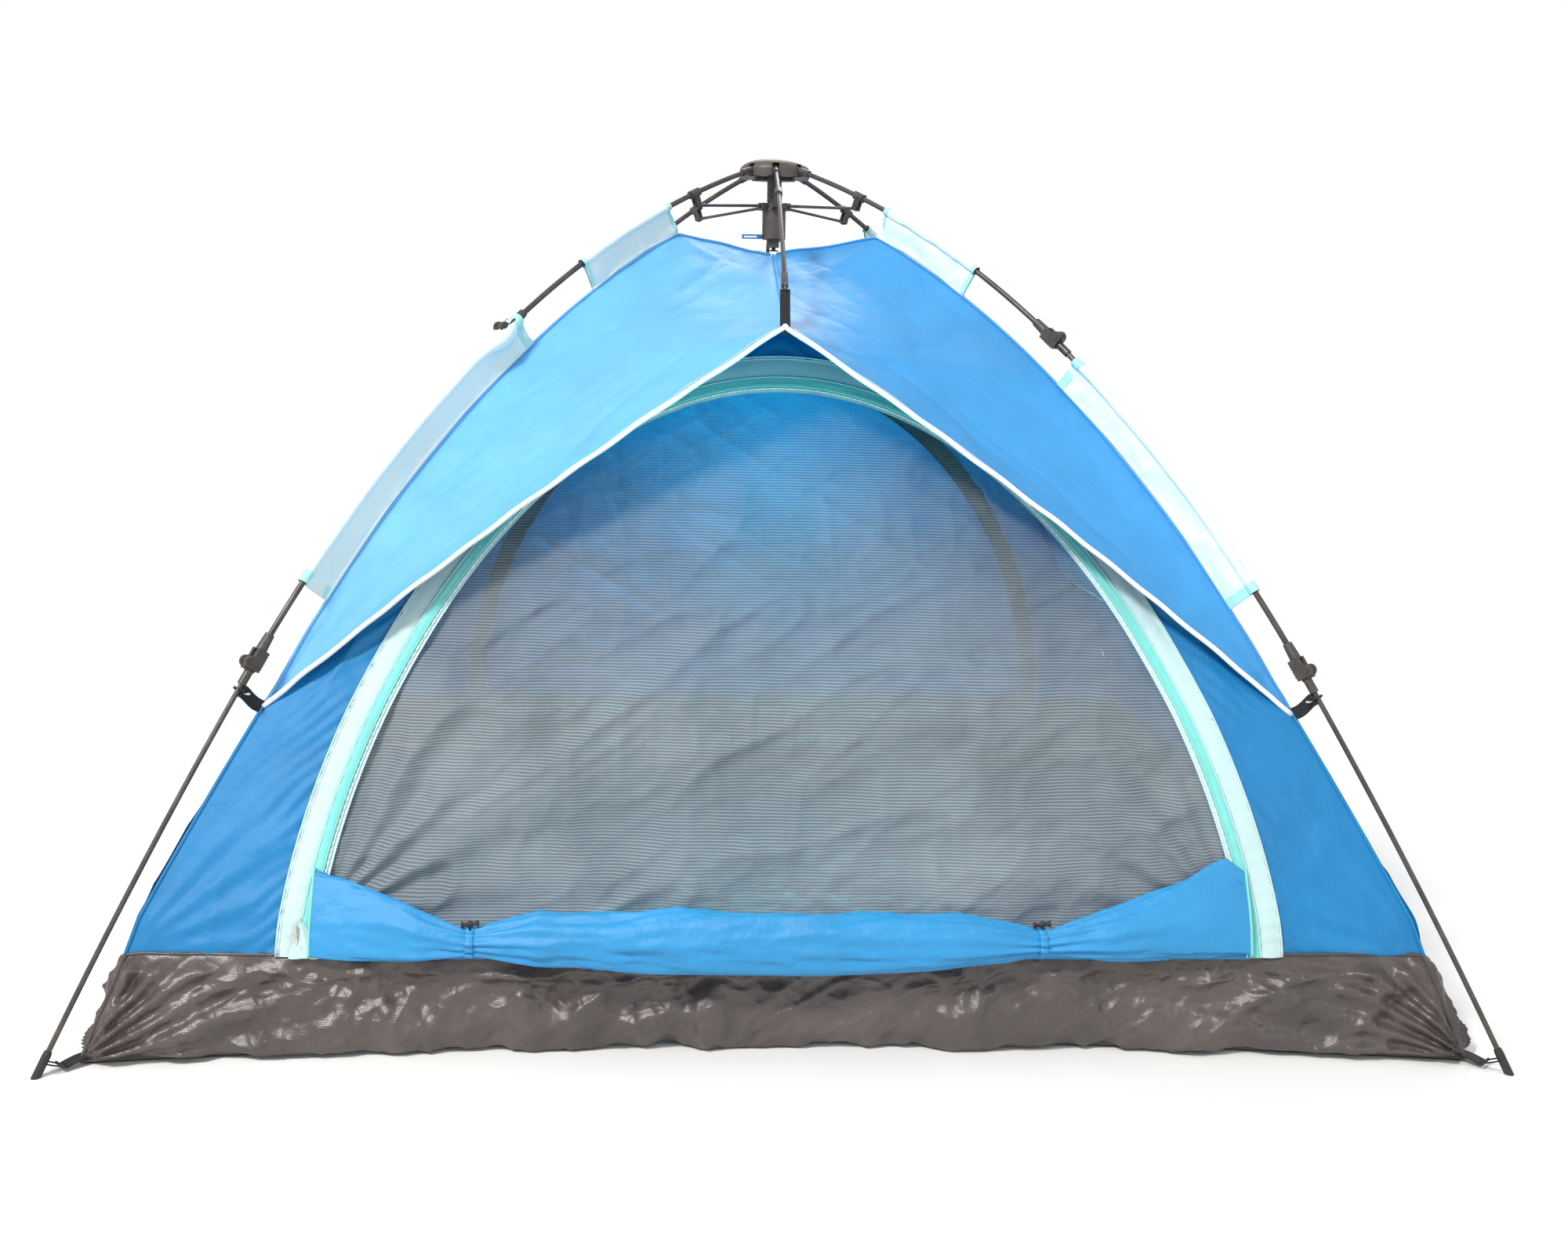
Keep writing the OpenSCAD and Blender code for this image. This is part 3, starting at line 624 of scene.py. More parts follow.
def ridge_rows(count):
    """Half widths and heights from the canopy's centre down the ridge to the eave."""
    keep = RIDGE[RIDGE[:, 1] >= EAVE_Z]
    keep = np.concatenate([[[0.0, CANOPY_TOP[2]]], keep, [[EAVE_HALF, EAVE_Z]]])
    along = np.concatenate([[0], np.cumsum(np.hypot(*np.diff(keep, axis=0).T))])
    a = np.linspace(0, along[-1], count)
    return np.interp(a, along, keep[:, 0]), np.interp(a, along, keep[:, 1])


def canopy_half(seed, rows=170, side_cols=150):
    """Left half of the canopy: porch, side face and back porch in one sheet of points."""
    noise = Noise(seed)
    h, z = ridge_rows(rows)
    a = np.linspace(0, 1, rows)[:, None]
    R = np.stack([-h, -h, z], -1)[:, None]
    S = seam_point(h)[:, None]
    u = np.linspace(0, 1, PORCH_COLS)[:, None]
    belly = (4 * u * (1 - u))[None, :, 0]
    porch = lerp(S, R, u[None])
    porch[..., 2] -= 0.022 * belly * unit(h / PORCH_HALF)[:, None] * (1 - 0.5 * a)
    back = porch[:, ::-1] * BEHIND
    v = np.linspace(-1, 1, side_cols)[1:-1][:, None]
    face = np.stack(np.broadcast_arrays(R[..., 0], h[:, None] * v[:, 0], R[..., 2]), -1)
    dip = 0.030 * (1 - v[None, :, 0] ** 2) * np.sin(np.pi * a)
    face[..., 0] += dip
    face[..., 2] -= 0.4 * dip
    P = np.concatenate([porch, face, back], 1)
    N = grid_normals(P)
    # distance in metres from the lines that pull the cloth
    to_seam = np.minimum(norm(P - S), norm(P - S * BEHIND))
    to_ridge = np.minimum(norm(P - R), norm(P - R * BEHIND))
    edge = np.minimum(to_seam, to_ridge)
    beside_ridge = unit(to_ridge / 0.012) * np.exp(-to_ridge / 0.05)
    pucker = noise(P, 0.030) * beside_ridge * 0.0035
    pucker += noise(P + 3, 0.05) * np.exp(-to_seam / 0.05) * unit(to_seam / 0.02) * 0.0040
    # long soft folds that run from the pulled points across the panel
    folds = 0
    for k, centre in enumerate((APEX, CORNER, APEX * BEHIND, CORNER * BEHIND)):
        d = norm(P - centre)
        angle = np.arctan2(P[..., 2] - centre[2], norm(P[..., :2] - centre[:2]) + 1e-6)
        swing = np.arctan2(P[..., 1] - centre[1], P[..., 0] - centre[0] + 1e-6)
        wave = np.sin(17 * angle + 9 * swing + 2.2 * noise(P + k, 0.35))
        folds = folds + wave * np.exp(-d / 0.34) * unit(d / 0.05) * 0.0068
    rolling = noise.layers(P + 11, 0.42, 3) * 0.009
    slant = P @ np.array([[1, 0, 0.8], [0, 1, 0], [-0.8, 0, 1]]).T
    lines = noise.creases(slant * [0.5, 1, 1.8] + 5, 0.22, 3) * 0.0062
    held = unit(edge / 0.10)
    P = P + N * (pucker + (folds + rolling + lines) * held)[..., None]
    P[..., 2] += (1 - unit(a / 0.25)) * noise(P * [1, 1, 0.2] + 30, 0.07) * 0.0055
    rim = (0.0010 * np.sin(a * 110 + seed) + 0.0016 * noise(P, 0.11)) * np.exp(-to_seam / 0.03)
    P[..., 2] += rim * (h[:, None] > PORCH_HALF)
    # the edge along the top seam lies straight, a hair to its own side
    for column in (0, -1):
        straight = P[:, column] * [0, 1, 1] + [-0.0006, 0, 0]
        P[:, column] = np.where(h[:, None] <= PORCH_HALF, straight, P[:, column])
    return P, h


def add_canopy():
    left, h = canopy_half(4)
    right = canopy_half(9)[0] * [-1, 1, 1]
    on_eave = h >= PORCH_HALF - 0.004
    # the left half takes the painted light colour, the right half the painted shade colour
    for side, P, mat in (("left", left, canopy_lit_mat), ("right", right, canopy_shaded_mat)):
        obj = grid(f"canopy_{side}_cloth", P, mat, flip=side == "right", weld=True)
        trims = []
        for end, edge, stitched in (("front", 0, 3), ("back", -1, -4)):
            trims.append(pipe(f"eave_binding_{side}_{end}", P[on_eave, edge], 0.0042, white_mat, sides=10))
            stitch = P[on_eave, stitched] + [0, 0, 0.0012]
            trims.append(pipe(f"eave_stitch_{side}_{end}", stitch, 0.0007, thread_mat, sides=6))
        for end, column in (("front", PORCH_COLS - 1), ("back", -PORCH_COLS)):
            ridge = P[1:, column] + [0, 0, 0.0014]
            trims.append(pipe(f"ridge_seam_{side}_{end}", ridge, 0.0026, mat))
        for trim in trims:
            soft(trim)
        cloth(obj, f"canopy_{side}", area=area_of(obj) * 0.98, with_pieces=trims)
    top_seam = left[h <= PORCH_HALF, 0] * [0, 1, 1]
    # the top seams take the right half's painted shade colour
    for end, mirror in (("front", 1), ("back", BEHIND)):
        soft(pipe(f"top_seam_{end}", top_seam * mirror + [0, 0, 0.0015], 0.0032, canopy_shaded_mat))


# ---------------- walls, bands and doors

GABLE_TOP = 1.128  # the end wall's highest point
GABLE_SHOULDER = 1.085  # where its sides start to round over


def wall_point(x, z):
    """Point of the front wall at a sideways place and a height; it draws in under the canopy."""
    tuck = 0.014 * unit((z - EAVE_Z) / 0.08)
    return np.stack([x, tuck - half_at(z) + 0 * x, z], -1)


def arch(grow, angle):
    x = (DOOR_HALF + grow) * np.cos(angle)
    return x, DOOR_FOOT + (DOOR_H + grow) * np.abs(np.sin(angle)) ** DOOR_STRAIGHT


def to_seam(x, z):
    """Carries an arch's two feet straight down to the tub's seam."""
    foot = [WALL_FOOT]
    return np.concatenate([x[:1], x, x[-1:]]), np.concatenate([foot, z, foot])


def wall_outline(angle):
    """Outer edge of the end wall, from its right foot over the gable to its left foot."""
    z = SEAM_Z + (GABLE_TOP - SEAM_Z) * np.sin(angle)
    inset = np.interp(z, [EAVE_Z - 0.02, EAVE_Z, EAVE_Z + 0.05], [0.0, 0.006, 0.032])
    side = half_at(np.minimum(z, GABLE_SHOULDER)) - inset
    side = side * np.sqrt(unit((GABLE_TOP - z) / (GABLE_TOP - GABLE_SHOULDER)))
    return np.sign(np.cos(angle)) * side, z


def wall_wrinkles(P, noise, to_band, to_edge):
    """Puckers beside the band, folds that run in from the corners and a soft roll."""
    phase = P[..., 2] * 260 + np.abs(P[..., 0]) * 190 + 6 * noise(P, 0.1)
    pucker = np.sin(phase) * np.exp(-to_band / 0.05) * 0.0034
    folds = 0
    for sign in (-1, 1):
        centre = np.array([sign * SEAM_HALF, -SEAM_HALF, SEAM_Z])
        d = norm((P - centre) * [1, 0.4, 1])
        angle = np.arctan2(P[..., 2] - centre[2], sign * (centre[0] - P[..., 0]))
        folds = folds + np.sin(22 * angle + 3 * noise(P + 2, 0.3)) * np.exp(-d / 0.28) * 0.0050
    roll = noise.layers(P + 4, 0.30, 3) * 0.0065
    lines = noise.creases(P * [1.5, 1, 1] + 9, 0.20) * 0.0048
    return pucker + (folds + roll + lines) * unit(to_edge / 0.06)


def end_wall(seed, rows=46, cols=260):
    """One end wall: the arch of cloth between the door's edge and the canopy."""
    noise = Noise(seed)
    angle = np.linspace(0, np.pi, cols)
    xi, zi = to_seam(*arch(BAND_W - 0.004, angle))
    xo, zo = to_seam(*wall_outline(angle))
    r = np.linspace(0, 1, rows)[:, None]
    x, z = lerp(xi, xo, r), lerp(zi, zo, r)
    P = wall_point(x, z)
    to_band = norm(P - P[:1])
    to_edge = np.minimum(to_band, norm(P - P[-1:]))
    return P + outward_normals(P) * wall_wrinkles(P, noise, to_band, to_edge)[..., None]


def door_band(seed, inner, outer, lift, rows=9, cols=300):
    """Bound strip along the door opening, laid over the wall's edge."""
    noise = Noise(seed)
    angle = np.linspace(0, np.pi, cols)
    r = np.linspace(0, 1, rows)[:, None]
    xi, zi = to_seam(*arch(inner, angle))
    xo, zo = to_seam(*arch(outer, angle))
    P = wall_point(lerp(xi, xo, r), lerp(zi, zo, r))
    wander = noise(P, 0.09) * 0.0022 + noise(P + 4, 0.03) * 0.0008
    P[..., 1] -= lift + 0.0024 * np.sin(np.pi * r) + wander * np.sin(np.pi * r)
    P[..., 1] -= 0.0009 * np.sin(np.concatenate([[0], angle, [np.pi]]) * 190 + 4 * noise(P, 0.1))
    return P


def arch_path(grow, lift, angle):
    x, z = to_seam(*arch(grow, angle))
    P = wall_point(x, z)
    P[:, 1] -= lift
    return P


def door_panel(seed, depth, foot, rows=190, cols=230):
    """Panel that fills a door opening, from its foot to the top of the arch."""
    noise = Noise(seed)
    angle = np.concatenate([[0.0, 0.0, 0.0], np.linspace(0.03, np.pi / 2 - 0.02, rows - 3)])
    x, z = arch(0.004, angle)
    z[:3] = foot + np.array([0, 0.002, 0.004])
    u = np.linspace(-1, 1, cols)
    P = wall_point(x[:, None] * u[None], np.repeat(z[:, None], cols, 1))
    height = (P[..., 2] - DOOR_FOOT) / DOOR_H
    to_edge = np.minimum(x[:, None] - np.abs(P[..., 0]), 0.9 * (z[-1] - P[..., 2]) + 0.02)
    to_edge = np.minimum(to_edge, P[..., 2] - SEAM_Z)
    held = unit(to_edge / 0.07)
    fan = 0
    for sign, shift in ((-1, 1), (1, 6)):
        cx, cz = sign * DOOR_HALF * 0.98, DOOR_FOOT + 0.05
        d = np.hypot(P[..., 0] - cx, P[..., 2] - cz)
        a = np.arctan2(P[..., 2] - cz, sign * (cx - P[..., 0]))
        fan = fan + np.sin(19 * a + 2.5 * noise(P + shift, 0.28)) * np.exp(-d / 0.45) * 0.009
    level = np.sin(P[..., 2] * 26 + 5 * noise(P * [0.5, 1, 1], 0.3)) * 0.0035
    slant = P @ np.array([[1, 0, 0.45], [0, 1, 0], [-0.6, 0, 1]]).T
    sharp = noise.creases(slant * [0.6, 1, 1.6] + 5, 0.22, 3) * 0.013
    fine = noise.creases(P * [1.3, 1, 0.9] + 12, 0.09, 2) * 0.0040
    roll = noise.layers(P + 8, 0.4) * 0.008
    pucker = np.sin(P[..., 2] * 170 + 4 * noise(P, 0.08)) * np.exp(-to_edge / 0.03) * 0.0018
    P[..., 1] += 0.006 * unit(to_edge / 0.02)
    P[..., 1] -= depth * ((fan + level + sharp + fine + roll) * held + pucker) - 0.010 * (1 - height) * held
    return P


def add_end(turn, end):
    """The wall and the strips round its door, at the front or the back."""
    front = end == "front"
    band_mat = mint_mat if front else edge_mat
    flap_mat = aqua_mat if front else edge_mat
    wall = grid(f"{end}_wall_cloth", turned(end_wall(21 if front else 22), turn), wall_mat)
    band = grid(f"{end}_door_binding", turned(door_band(31, 0.010, BAND_W, 0.0030), turn), band_mat)
    flap = grid(f"{end}_zip_flap", turned(door_band(33, -0.003, 0.015, 0.0058, rows=7), turn), flap_mat)
    angle = np.linspace(0, np.pi, 300)
    trims = [soft(flap)]
    # piped edges and rows of stitching: place on the band, lift off the wall, radius and material
    lines = [
        (BAND_W, 0.0038, 0.0017, band_mat),
        (0.0, 0.0072, 0.0015, flap_mat),
        (BAND_W - 0.004, 0.0052, 0.0006, thread_mat),
        (0.0125, 0.0086, 0.0006, thread_mat),
        (-0.003, 0.0062, 0.0022, flap_mat),
    ]
    for k, (grow, lift, radius, mat) in enumerate(lines):
        if front or mat is not thread_mat:
            path = turned(arch_path(grow, lift, angle), turn)
            trims.append(soft(pipe(f"{end}_band_line_{k}", path, radius, mat, sides=6)))
    cloth(band, f"{end}_door_band", with_pieces=trims)
    cloth(wall, f"{end}_wall")


def add_zip():
    """Zip tape and its teeth just inside the front flap, and the little gusset at its foot."""
    angle = np.linspace(0.01, np.pi - 0.01, 700)
    tape = np.stack([arch_path(g, 0.0030, angle) for g in np.linspace(-0.014, 0.004, 4)], 0)
    obj = grid("zip_tape", tape, mint_mat)
    bead = 0.0013 + 0.0005 * np.sign(np.sin(np.arange(len(angle) + 2) * np.pi / 1.5))
    row = soft(pipe("zip_teeth", arch_path(-0.0075, 0.0052, angle), bead, thread_mat, sides=6))
    cloth(obj, with_pieces=[row])
    k = np.linspace(0, 1, 10)[:, None]
    u = np.linspace(0, 1, 8)[None]
    z = lerp(SEAM_Z - 0.002, 0.205, k) + 0 * u
    x = -DOOR_HALF - 0.012 + (1 - k) ** 0.8 * lerp(-0.016, 0.030, u)
    P = wall_point(x, z)
    P[..., 1] -= 0.010 + 0.002 * np.sin(9 * u + 4 * k)
    soft(grid("zip_gusset", P, mint_mat))


def add_doors():
    net = grid("mesh_door_cloth", door_panel(41, 1.0, DOOR_FOOT), net_mat, weld=True)
    cloth(net, "mesh_door", body="mesh_door")
    panel = grid("back_door_cloth", turned(door_panel(47, 0.6, WALL_FOOT), 180), wall_mat, weld=True)
    cloth(panel, "back_door_panel")


def add_side_walls():
    """Lower side walls, between the canopy's eave and the tub, and the seams at the corners."""
    z = np.linspace(EAVE_Z + 0.01, SEAM_Z, 60)
    half = half_at(z) + 0.0005
    for where, turn in LEG_TURNS.items():
        path = turned(in_leg_plane(half * math.sqrt(2), z), turn)
        soft(pipe(f"corner_seam_{where}", path, 0.0030, wall_mat))
    for turn, side, seed in ((-90, "left", 51), (90, "right", 52)):
        noise = Noise(seed)
        z = np.linspace(EAVE_Z - 0.004, SEAM_Z, 60)[:, None]
        u = np.linspace(-1, 1, 240)[None]
        x = u * (half_at(z) - 0.001)
        P = wall_point(x, z + 0 * u)
        P[..., 1] += 0.016 * (1 - u**2) * np.sin(np.pi * (z - SEAM_Z) / (EAVE_Z - SEAM_Z))
        edge = np.minimum(EAVE_Z - z, z - SEAM_Z) + 0 * u
        P[..., 1] -= wall_wrinkles(P, noise, 0.2 + 0 * x, edge)
        obj = grid(f"{side}_wall_cloth", turned(P, turn), wall_mat)
        top = turned(P[0] + [0, -0.002, 0.002], turn)
        seam = soft(pipe(f"{side}_eave_binding", top, 0.0035, white_mat, sides=10))
        cloth(obj, f"{side}_wall", with_pieces=[seam])


# ---------------- tub and groundsheet


def floor_edge(t):
    """Edge of the floor on the front side, for t from -1 to 1."""
    return np.stack([t * FLOOR_HALF, -FLOOR_HALF + FLOOR_SAG * (1 - t**2), 0 * t + 0.004], -1)


def tub_side(seed, rows=56, cols=520):
    """The front side of the crumpled tub, from its seam down to the floor."""
    noise = Noise(seed)
    t = np.linspace(-1, 1, cols)
    top = np.stack([t * SEAM_HALF, -SEAM_HALF + 0 * t, SEAM_Z + 0 * t], -1)
    foot = floor_edge(t)
    k = np.linspace(0, 1, rows)[:, None, None]
    P = lerp(top[None], foot[None], k)
    k = k[..., 0]
    P[..., 1] += 0.011 * np.sin(2 * np.pi * k) * (1 - t**4)
    N = outward_normals(P)
    folds = 0
    for sign in (-1, 1):
        centre = np.array([sign * FLOOR_HALF, -FLOOR_HALF, 0.0])
        d = norm(P - centre)
        a = np.arctan2(P[..., 2], sign * (centre[0] - P[..., 0]) + 0.01)
        folds = folds + np.sin(30 * a + 2 * noise(P, 0.2)) * np.exp(-d / 0.30) * 0.0085
    slant = P @ np.array([[1, 0, 0.7], [0, 1, 0], [-0.5, 0, 1]]).T
    bent = slant + 0.03 * np.stack([noise(P + shift, 0.11) for shift in (1, 5, 9)], -1)
    lines = noise.creases(slant * [0.8, 1, 1.5], 0.17, 2) * 0.009
    broad, small = noise.facets(bent * [0.7, 1, 1.3], 0.085), noise.facets(bent * [1, 1, 1.4], 0.036)
    lines += broad * 0.020 + small * 0.0075
    upright = np.sin(P[..., 0] * 55 + 6 * noise(P + 1, 0.25)) * 0.003
    roll = noise.layers(P + 3, 0.25) * 0.008
    in_corner = unit((1 - np.abs(t)) / 0.02)
    held = unit(k / 0.15) * unit((1 - k) / 0.06) * in_corner
    P = P + N * ((folds + lines + upright + roll) * held)[..., None]
    P[..., 2] = np.maximum(P[..., 2], 0.0015)
    P[0, :, 2] += 0.0016 * (1 + noise(P[0], 0.09)) * in_corner
    return P


def add_tub():
    trims, sides = [], []
    for turn, seed in ((0, 61), (90, 62), (180, 63), (270, 64)):
        P = turned(tub_side(seed), turn)
        sides.append(grid(f"tub_side_{turn}", P, sheet_mat))
        seams = (("tub_seam", P[0] + [0, 0, 0.0005], 0.0026), ("tub_corner", P[:, -1], 0.0034),
                 ("floor_seam", P[-1] + [0, 0, 0.0012], 0.0026))
        trims += [soft(pipe(f"{kind}_{turn}", path, r, sheet_mat)) for kind, path, r in seams]
    main = sides[0]
    bpy.ops.object.select_all(action="DESELECT")
    for obj in sides:
        obj.select_set(True)
    bpy.context.view_layer.objects.active = main
    bpy.ops.object.join()
    main.name = "tub_sides_cloth"
    cloth(main, "tub_wall", area=1.45, with_pieces=trims)


def add_groundsheet():
    noise = Noise(66)
    t = np.linspace(-1, 1, 250)
    X, Y = np.meshgrid(t, t, indexing="ij")
    pull_x = 1 - FLOOR_SAG / FLOOR_HALF * (1 - Y**2) * np.abs(X) ** 3
    pull_y = 1 - FLOOR_SAG / FLOOR_HALF * (1 - X**2) * np.abs(Y) ** 3
    P = np.stack([X * FLOOR_HALF * pull_x, Y * FLOOR_HALF * pull_y, 0 * X], -1)
    crumple = noise.creases(P, 0.22, 3) * 0.012 + noise.creases(P + 20, 0.07, 2) * 0.004
    rim = unit((1 - np.maximum(np.abs(X), np.abs(Y))) / 0.05)
    P[..., 2] = 0.0015 + crumple * rim
    floor = grid("groundsheet_cloth", P, sheet_mat)
    area = area_of(floor) * 0.98
    cloth(floor, "groundsheet", area=area)


# ---------------- sleeves


def sleeve(name, turn, tube, t0, t1, seed):
    """Keyhole of cloth: round the pole and down to the canopy's ridge in a doubled web.

    A sleeve that starts above the tube's top end is drawn up over the elbow, and swells there."""
    noise = Noise(seed)
    rows, web_count, round_count = 90, 14, 22
    t = np.linspace(t0, t1, rows)
    pole, out = tube.at(t), tube.outward(t)
    radius, web_half = 0.0078, 0.0014
    web_top, web_foot = radius * 0.8, LEG_GAP - 0.004
    angles = np.radians(np.linspace(-150, 150, round_count))
    section = [(-d, -web_half) for d in np.linspace(web_foot, web_top, web_count)]
    section += [(radius * math.cos(a), radius * math.sin(a)) for a in angles]
    section += [(-d, web_half) for d in np.linspace(web_top, web_foot, web_count)]
    span = (t - t0) / (t1 - t0)
    cup = 0.010 * np.sin(np.pi * span) ** 2
    P = np.zeros((rows, len(section), 3))
    swell = 1.5 * np.exp(-(((t - 0.012) / 0.05) ** 2)) if t0 < 0 else 0 * t
    for j, (o, w) in enumerate(section):
        deep = min(max(-o / web_foot, 0.0), 1.0)
        round_part = web_count <= j < web_count + round_count
        grow = 1 + swell * round_part
        w = w * grow
        flat = pole + out * (o * grow - 0.004 * swell * round_part)[:, None]
        q = in_leg_plane(flat[:, 0], flat[:, 1])
        bend = noise(q + 1, 0.07) * 0.0060 * np.sin(np.pi * deep) + noise(q + 5, 0.022) * 0.0022
        # crumpled towards the upper end, where the elbow bunches it
        bend = bend * (1 + 1.8 * np.exp(-span / 0.10)) * (0.35 if deep < 0.1 else 1)
        lift = 0.4 * cup * deep
        P[:, j] = in_leg_plane(flat[:, 0] + out[:, 0] * lift, flat[:, 1] + out[:, 1] * lift, w + bend)
    body = grid(name, turned(P, turn), sleeve_mat, flip=True)
    hems = []
    for k, end in enumerate((slice(0, 4), slice(rows - 4, rows))):
        Q = P[end].copy()
        centre = in_leg_plane(pole[end, 0], pole[end, 1])[:, None]
        push = Q - centre
        near = np.linalg.norm(push, axis=-1, keepdims=True)
        Q = np.where(near < radius * 1.5, centre + push * 1.05, Q)
        Q[..., 1] += np.sign(Q[..., 1]) * 0.0007
        hems.append(soft(grid(f"{name}_hem_{k}", turned(Q, turn), hem_mat, flip=True)))
    foot = in_leg_plane(P[:, 0, 0], P[:, 0, 2])
    hems.append(soft(pipe(f"{name}_seam", turned(foot, turn), 0.0028, sleeve_mat)))
    return body, hems


def add_sleeves():
    for where, turn in LEG_TURNS.items():
        top = -0.055 if where == "front_left" else 0.075
        parts = (("upper", UPPER, 0.36, 0.70), ("middle", MIDDLE, top, 0.79))
        for k, (kind, tube, t0, t1) in enumerate(parts):
            body, hems = sleeve(f"{kind}_sleeve_{where}", turn, tube, t0, t1, 70 + turn + k)
            cloth(body, f"{kind}_sleeves", with_pieces=hems)


# ---------------- rolled door

ROLL_HALF = 0.722
TIES = (-0.479, 0.394)  # sideways places of the two ties
# the roll's profile from left to right: place, foot, top and half thickness
ROLL_SHAPE = np.array([
    [-0.722, 0.151, 0.262, 0.004], [-0.66, 0.151, 0.244, 0.010], [-0.56, 0.152, 0.213, 0.017],
    [-0.50, 0.156, 0.197, 0.015], [-0.479, 0.158, 0.194, 0.014], [-0.455, 0.156, 0.198, 0.016],
    [-0.38, 0.146, 0.212, 0.022], [-0.20, 0.136, 0.219, 0.025], [0.05, 0.134, 0.219, 0.026],
    [0.22, 0.140, 0.214, 0.024], [0.33, 0.150, 0.204, 0.020], [0.375, 0.156, 0.196, 0.016],
    [0.394, 0.158, 0.193, 0.014], [0.415, 0.156, 0.197, 0.015], [0.50, 0.152, 0.214, 0.018],
    [0.60, 0.151, 0.246, 0.012], [0.693, 0.151, 0.281, 0.006], [0.722, 0.151, 0.262, 0.004]])


def roll_section(x, phi, noise, wrap=1.0):
    """Points of the rolled door round its profile; wrap below 1 lies further inside."""
    foot, top, thick = (np.interp(x, ROLL_SHAPE[:, 0], ROLL_SHAPE[:, k]) for k in (1, 2, 3))
    ties = [np.abs(x - tie) for tie in TIES]
    near = np.minimum(*ties)
    q = np.stack([x + 0 * phi, 0.10 * np.cos(phi) + 0 * x, 0.10 * np.sin(phi) + 0 * x], -1)
    radiating = np.exp(-near / 0.13) * np.sin(11 * phi + 3 * noise(q, 0.3)) * 0.17
    long_folds = 0.11 * np.sin(3 * phi + 3 * x + 3.5 * noise(q * [0.5, 1, 1], 0.2))
    slanted = q * [0.5, 1.2, 1.2] + np.stack([0.5 * q[..., 1], 0.3 * q[..., 0], 0 * x + 0 * phi], -1)
    broad, small = noise.facets(slanted + 3, 0.065), noise.facets(slanted + 8, 0.030)
    creased = 0.34 * (broad - 0.5) + 0.16 * (small - 0.5)
    size = (1 + radiating + long_folds + creased) * wrap
    up = 0.5 * (1 + np.sin(phi) * np.minimum(size, 1.06))
    z = lerp(foot, top + 0.010 * unit(near / 0.1), up)
    wall = half_at(np.maximum(z, SEAM_Z))
    y = -wall - 0.0085 - thick * (1 + np.cos(phi) * size)
    return np.stack([x + 0 * phi, y, z], -1)


def add_roll():
    """The outer door, rolled inwards turn on turn, with a flat hem behind it."""
    noise = Noise(81)
    rows, turn_cols, turns = 380, 64, 4.6
    x = np.linspace(-ROLL_HALF, ROLL_HALF, rows)[:, None]
    angle = np.linspace(0, 2 * np.pi * turns, int(turn_cols * turns))[None]
    wrap = 1 - 0.155 * angle / (2 * np.pi)
    P = roll_section(x, angle - 0.6 * np.pi, noise, wrap)
    roll = grid("door_roll_cloth", P, roll_mat)
    trims = []
    lip = np.linspace(-0.45 * np.pi, 0.75 * np.pi, 40)[None]
    for k, end in enumerate((-ROLL_HALF, ROLL_HALF)):
        edge = roll_section(np.array([[end]]), lip, noise, 1.0 + 0 * lip)[0]
        trims.append(soft(pipe(f"door_roll_piping_{k}", edge, 0.0022, aqua_mat)))
    along = np.linspace(-1, 1, 300)[:, None]
    k = np.linspace(0, 1, 8)[None]
    hem = wall_point(along * ROLL_HALF + 0 * k, lerp(SEAM_Z - 0.004, 0.166, k) + 0 * along)
    hem[..., 1] -= 0.0045 + 0.0015 * noise(hem, 0.03)
    trims.append(soft(grid("door_roll_hem", hem, roll_mat)))
    cloth(roll, "door_roll", area=0.97, with_pieces=trims)
    add_ties(noise)


def add_ties(noise):
    """A cloth loop with a toggle round the roll at two places."""
    pieces = []
    phi = np.linspace(0, 2 * np.pi, 49)
    for k, tie in enumerate(TIES):
        ring = roll_section(np.full(len(phi), tie), phi, noise)
        loop = ring.mean(0) + (ring - ring.mean(0)) * [1, 1.10, 1.08]
        band = ribbon(f"door_tie_{k}", loop, np.array([1.0, 0, 0]), 0.012, 0.0032, roll_mat)
        top = loop[int(np.argmax(loop[:, 2]))]
        s = np.linspace(0, 1, 15)
        width = 0.0040 + 0.0011 * np.cos(s * 4 * np.pi)
        path = top + np.stack([lerp(-0.013, 0.013, s), 0 * s - 0.002, 0.006 + 0.003 * s], -1)
        toggle = pipe(f"door_toggle_{k}", path, width, foot_mat, sides=14)
        back_and_up = [(0.001, -0.002), (-0.003, 0.003), (-0.004, 0.0105), (-0.0065, 0.006), (-0.006, -0.001)]
        cord = top + np.array([(0, y, z) for y, z in back_and_up])
        elastic = pipe(f"door_tie_elastic_{k}", cord, 0.0013, strap_mat)
        pieces += [soft(band), soft(toggle), soft(elastic)]
    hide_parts("door_ties")


# ---------------- straps, tabs and loops


def add_fittings(make, node):
    """Soft fittings at each leg, in place of their node, which is hidden."""
    pieces = [soft(obj) for where, turn in LEG_TURNS.items() for obj in make(where, turn)]
    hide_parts(node)


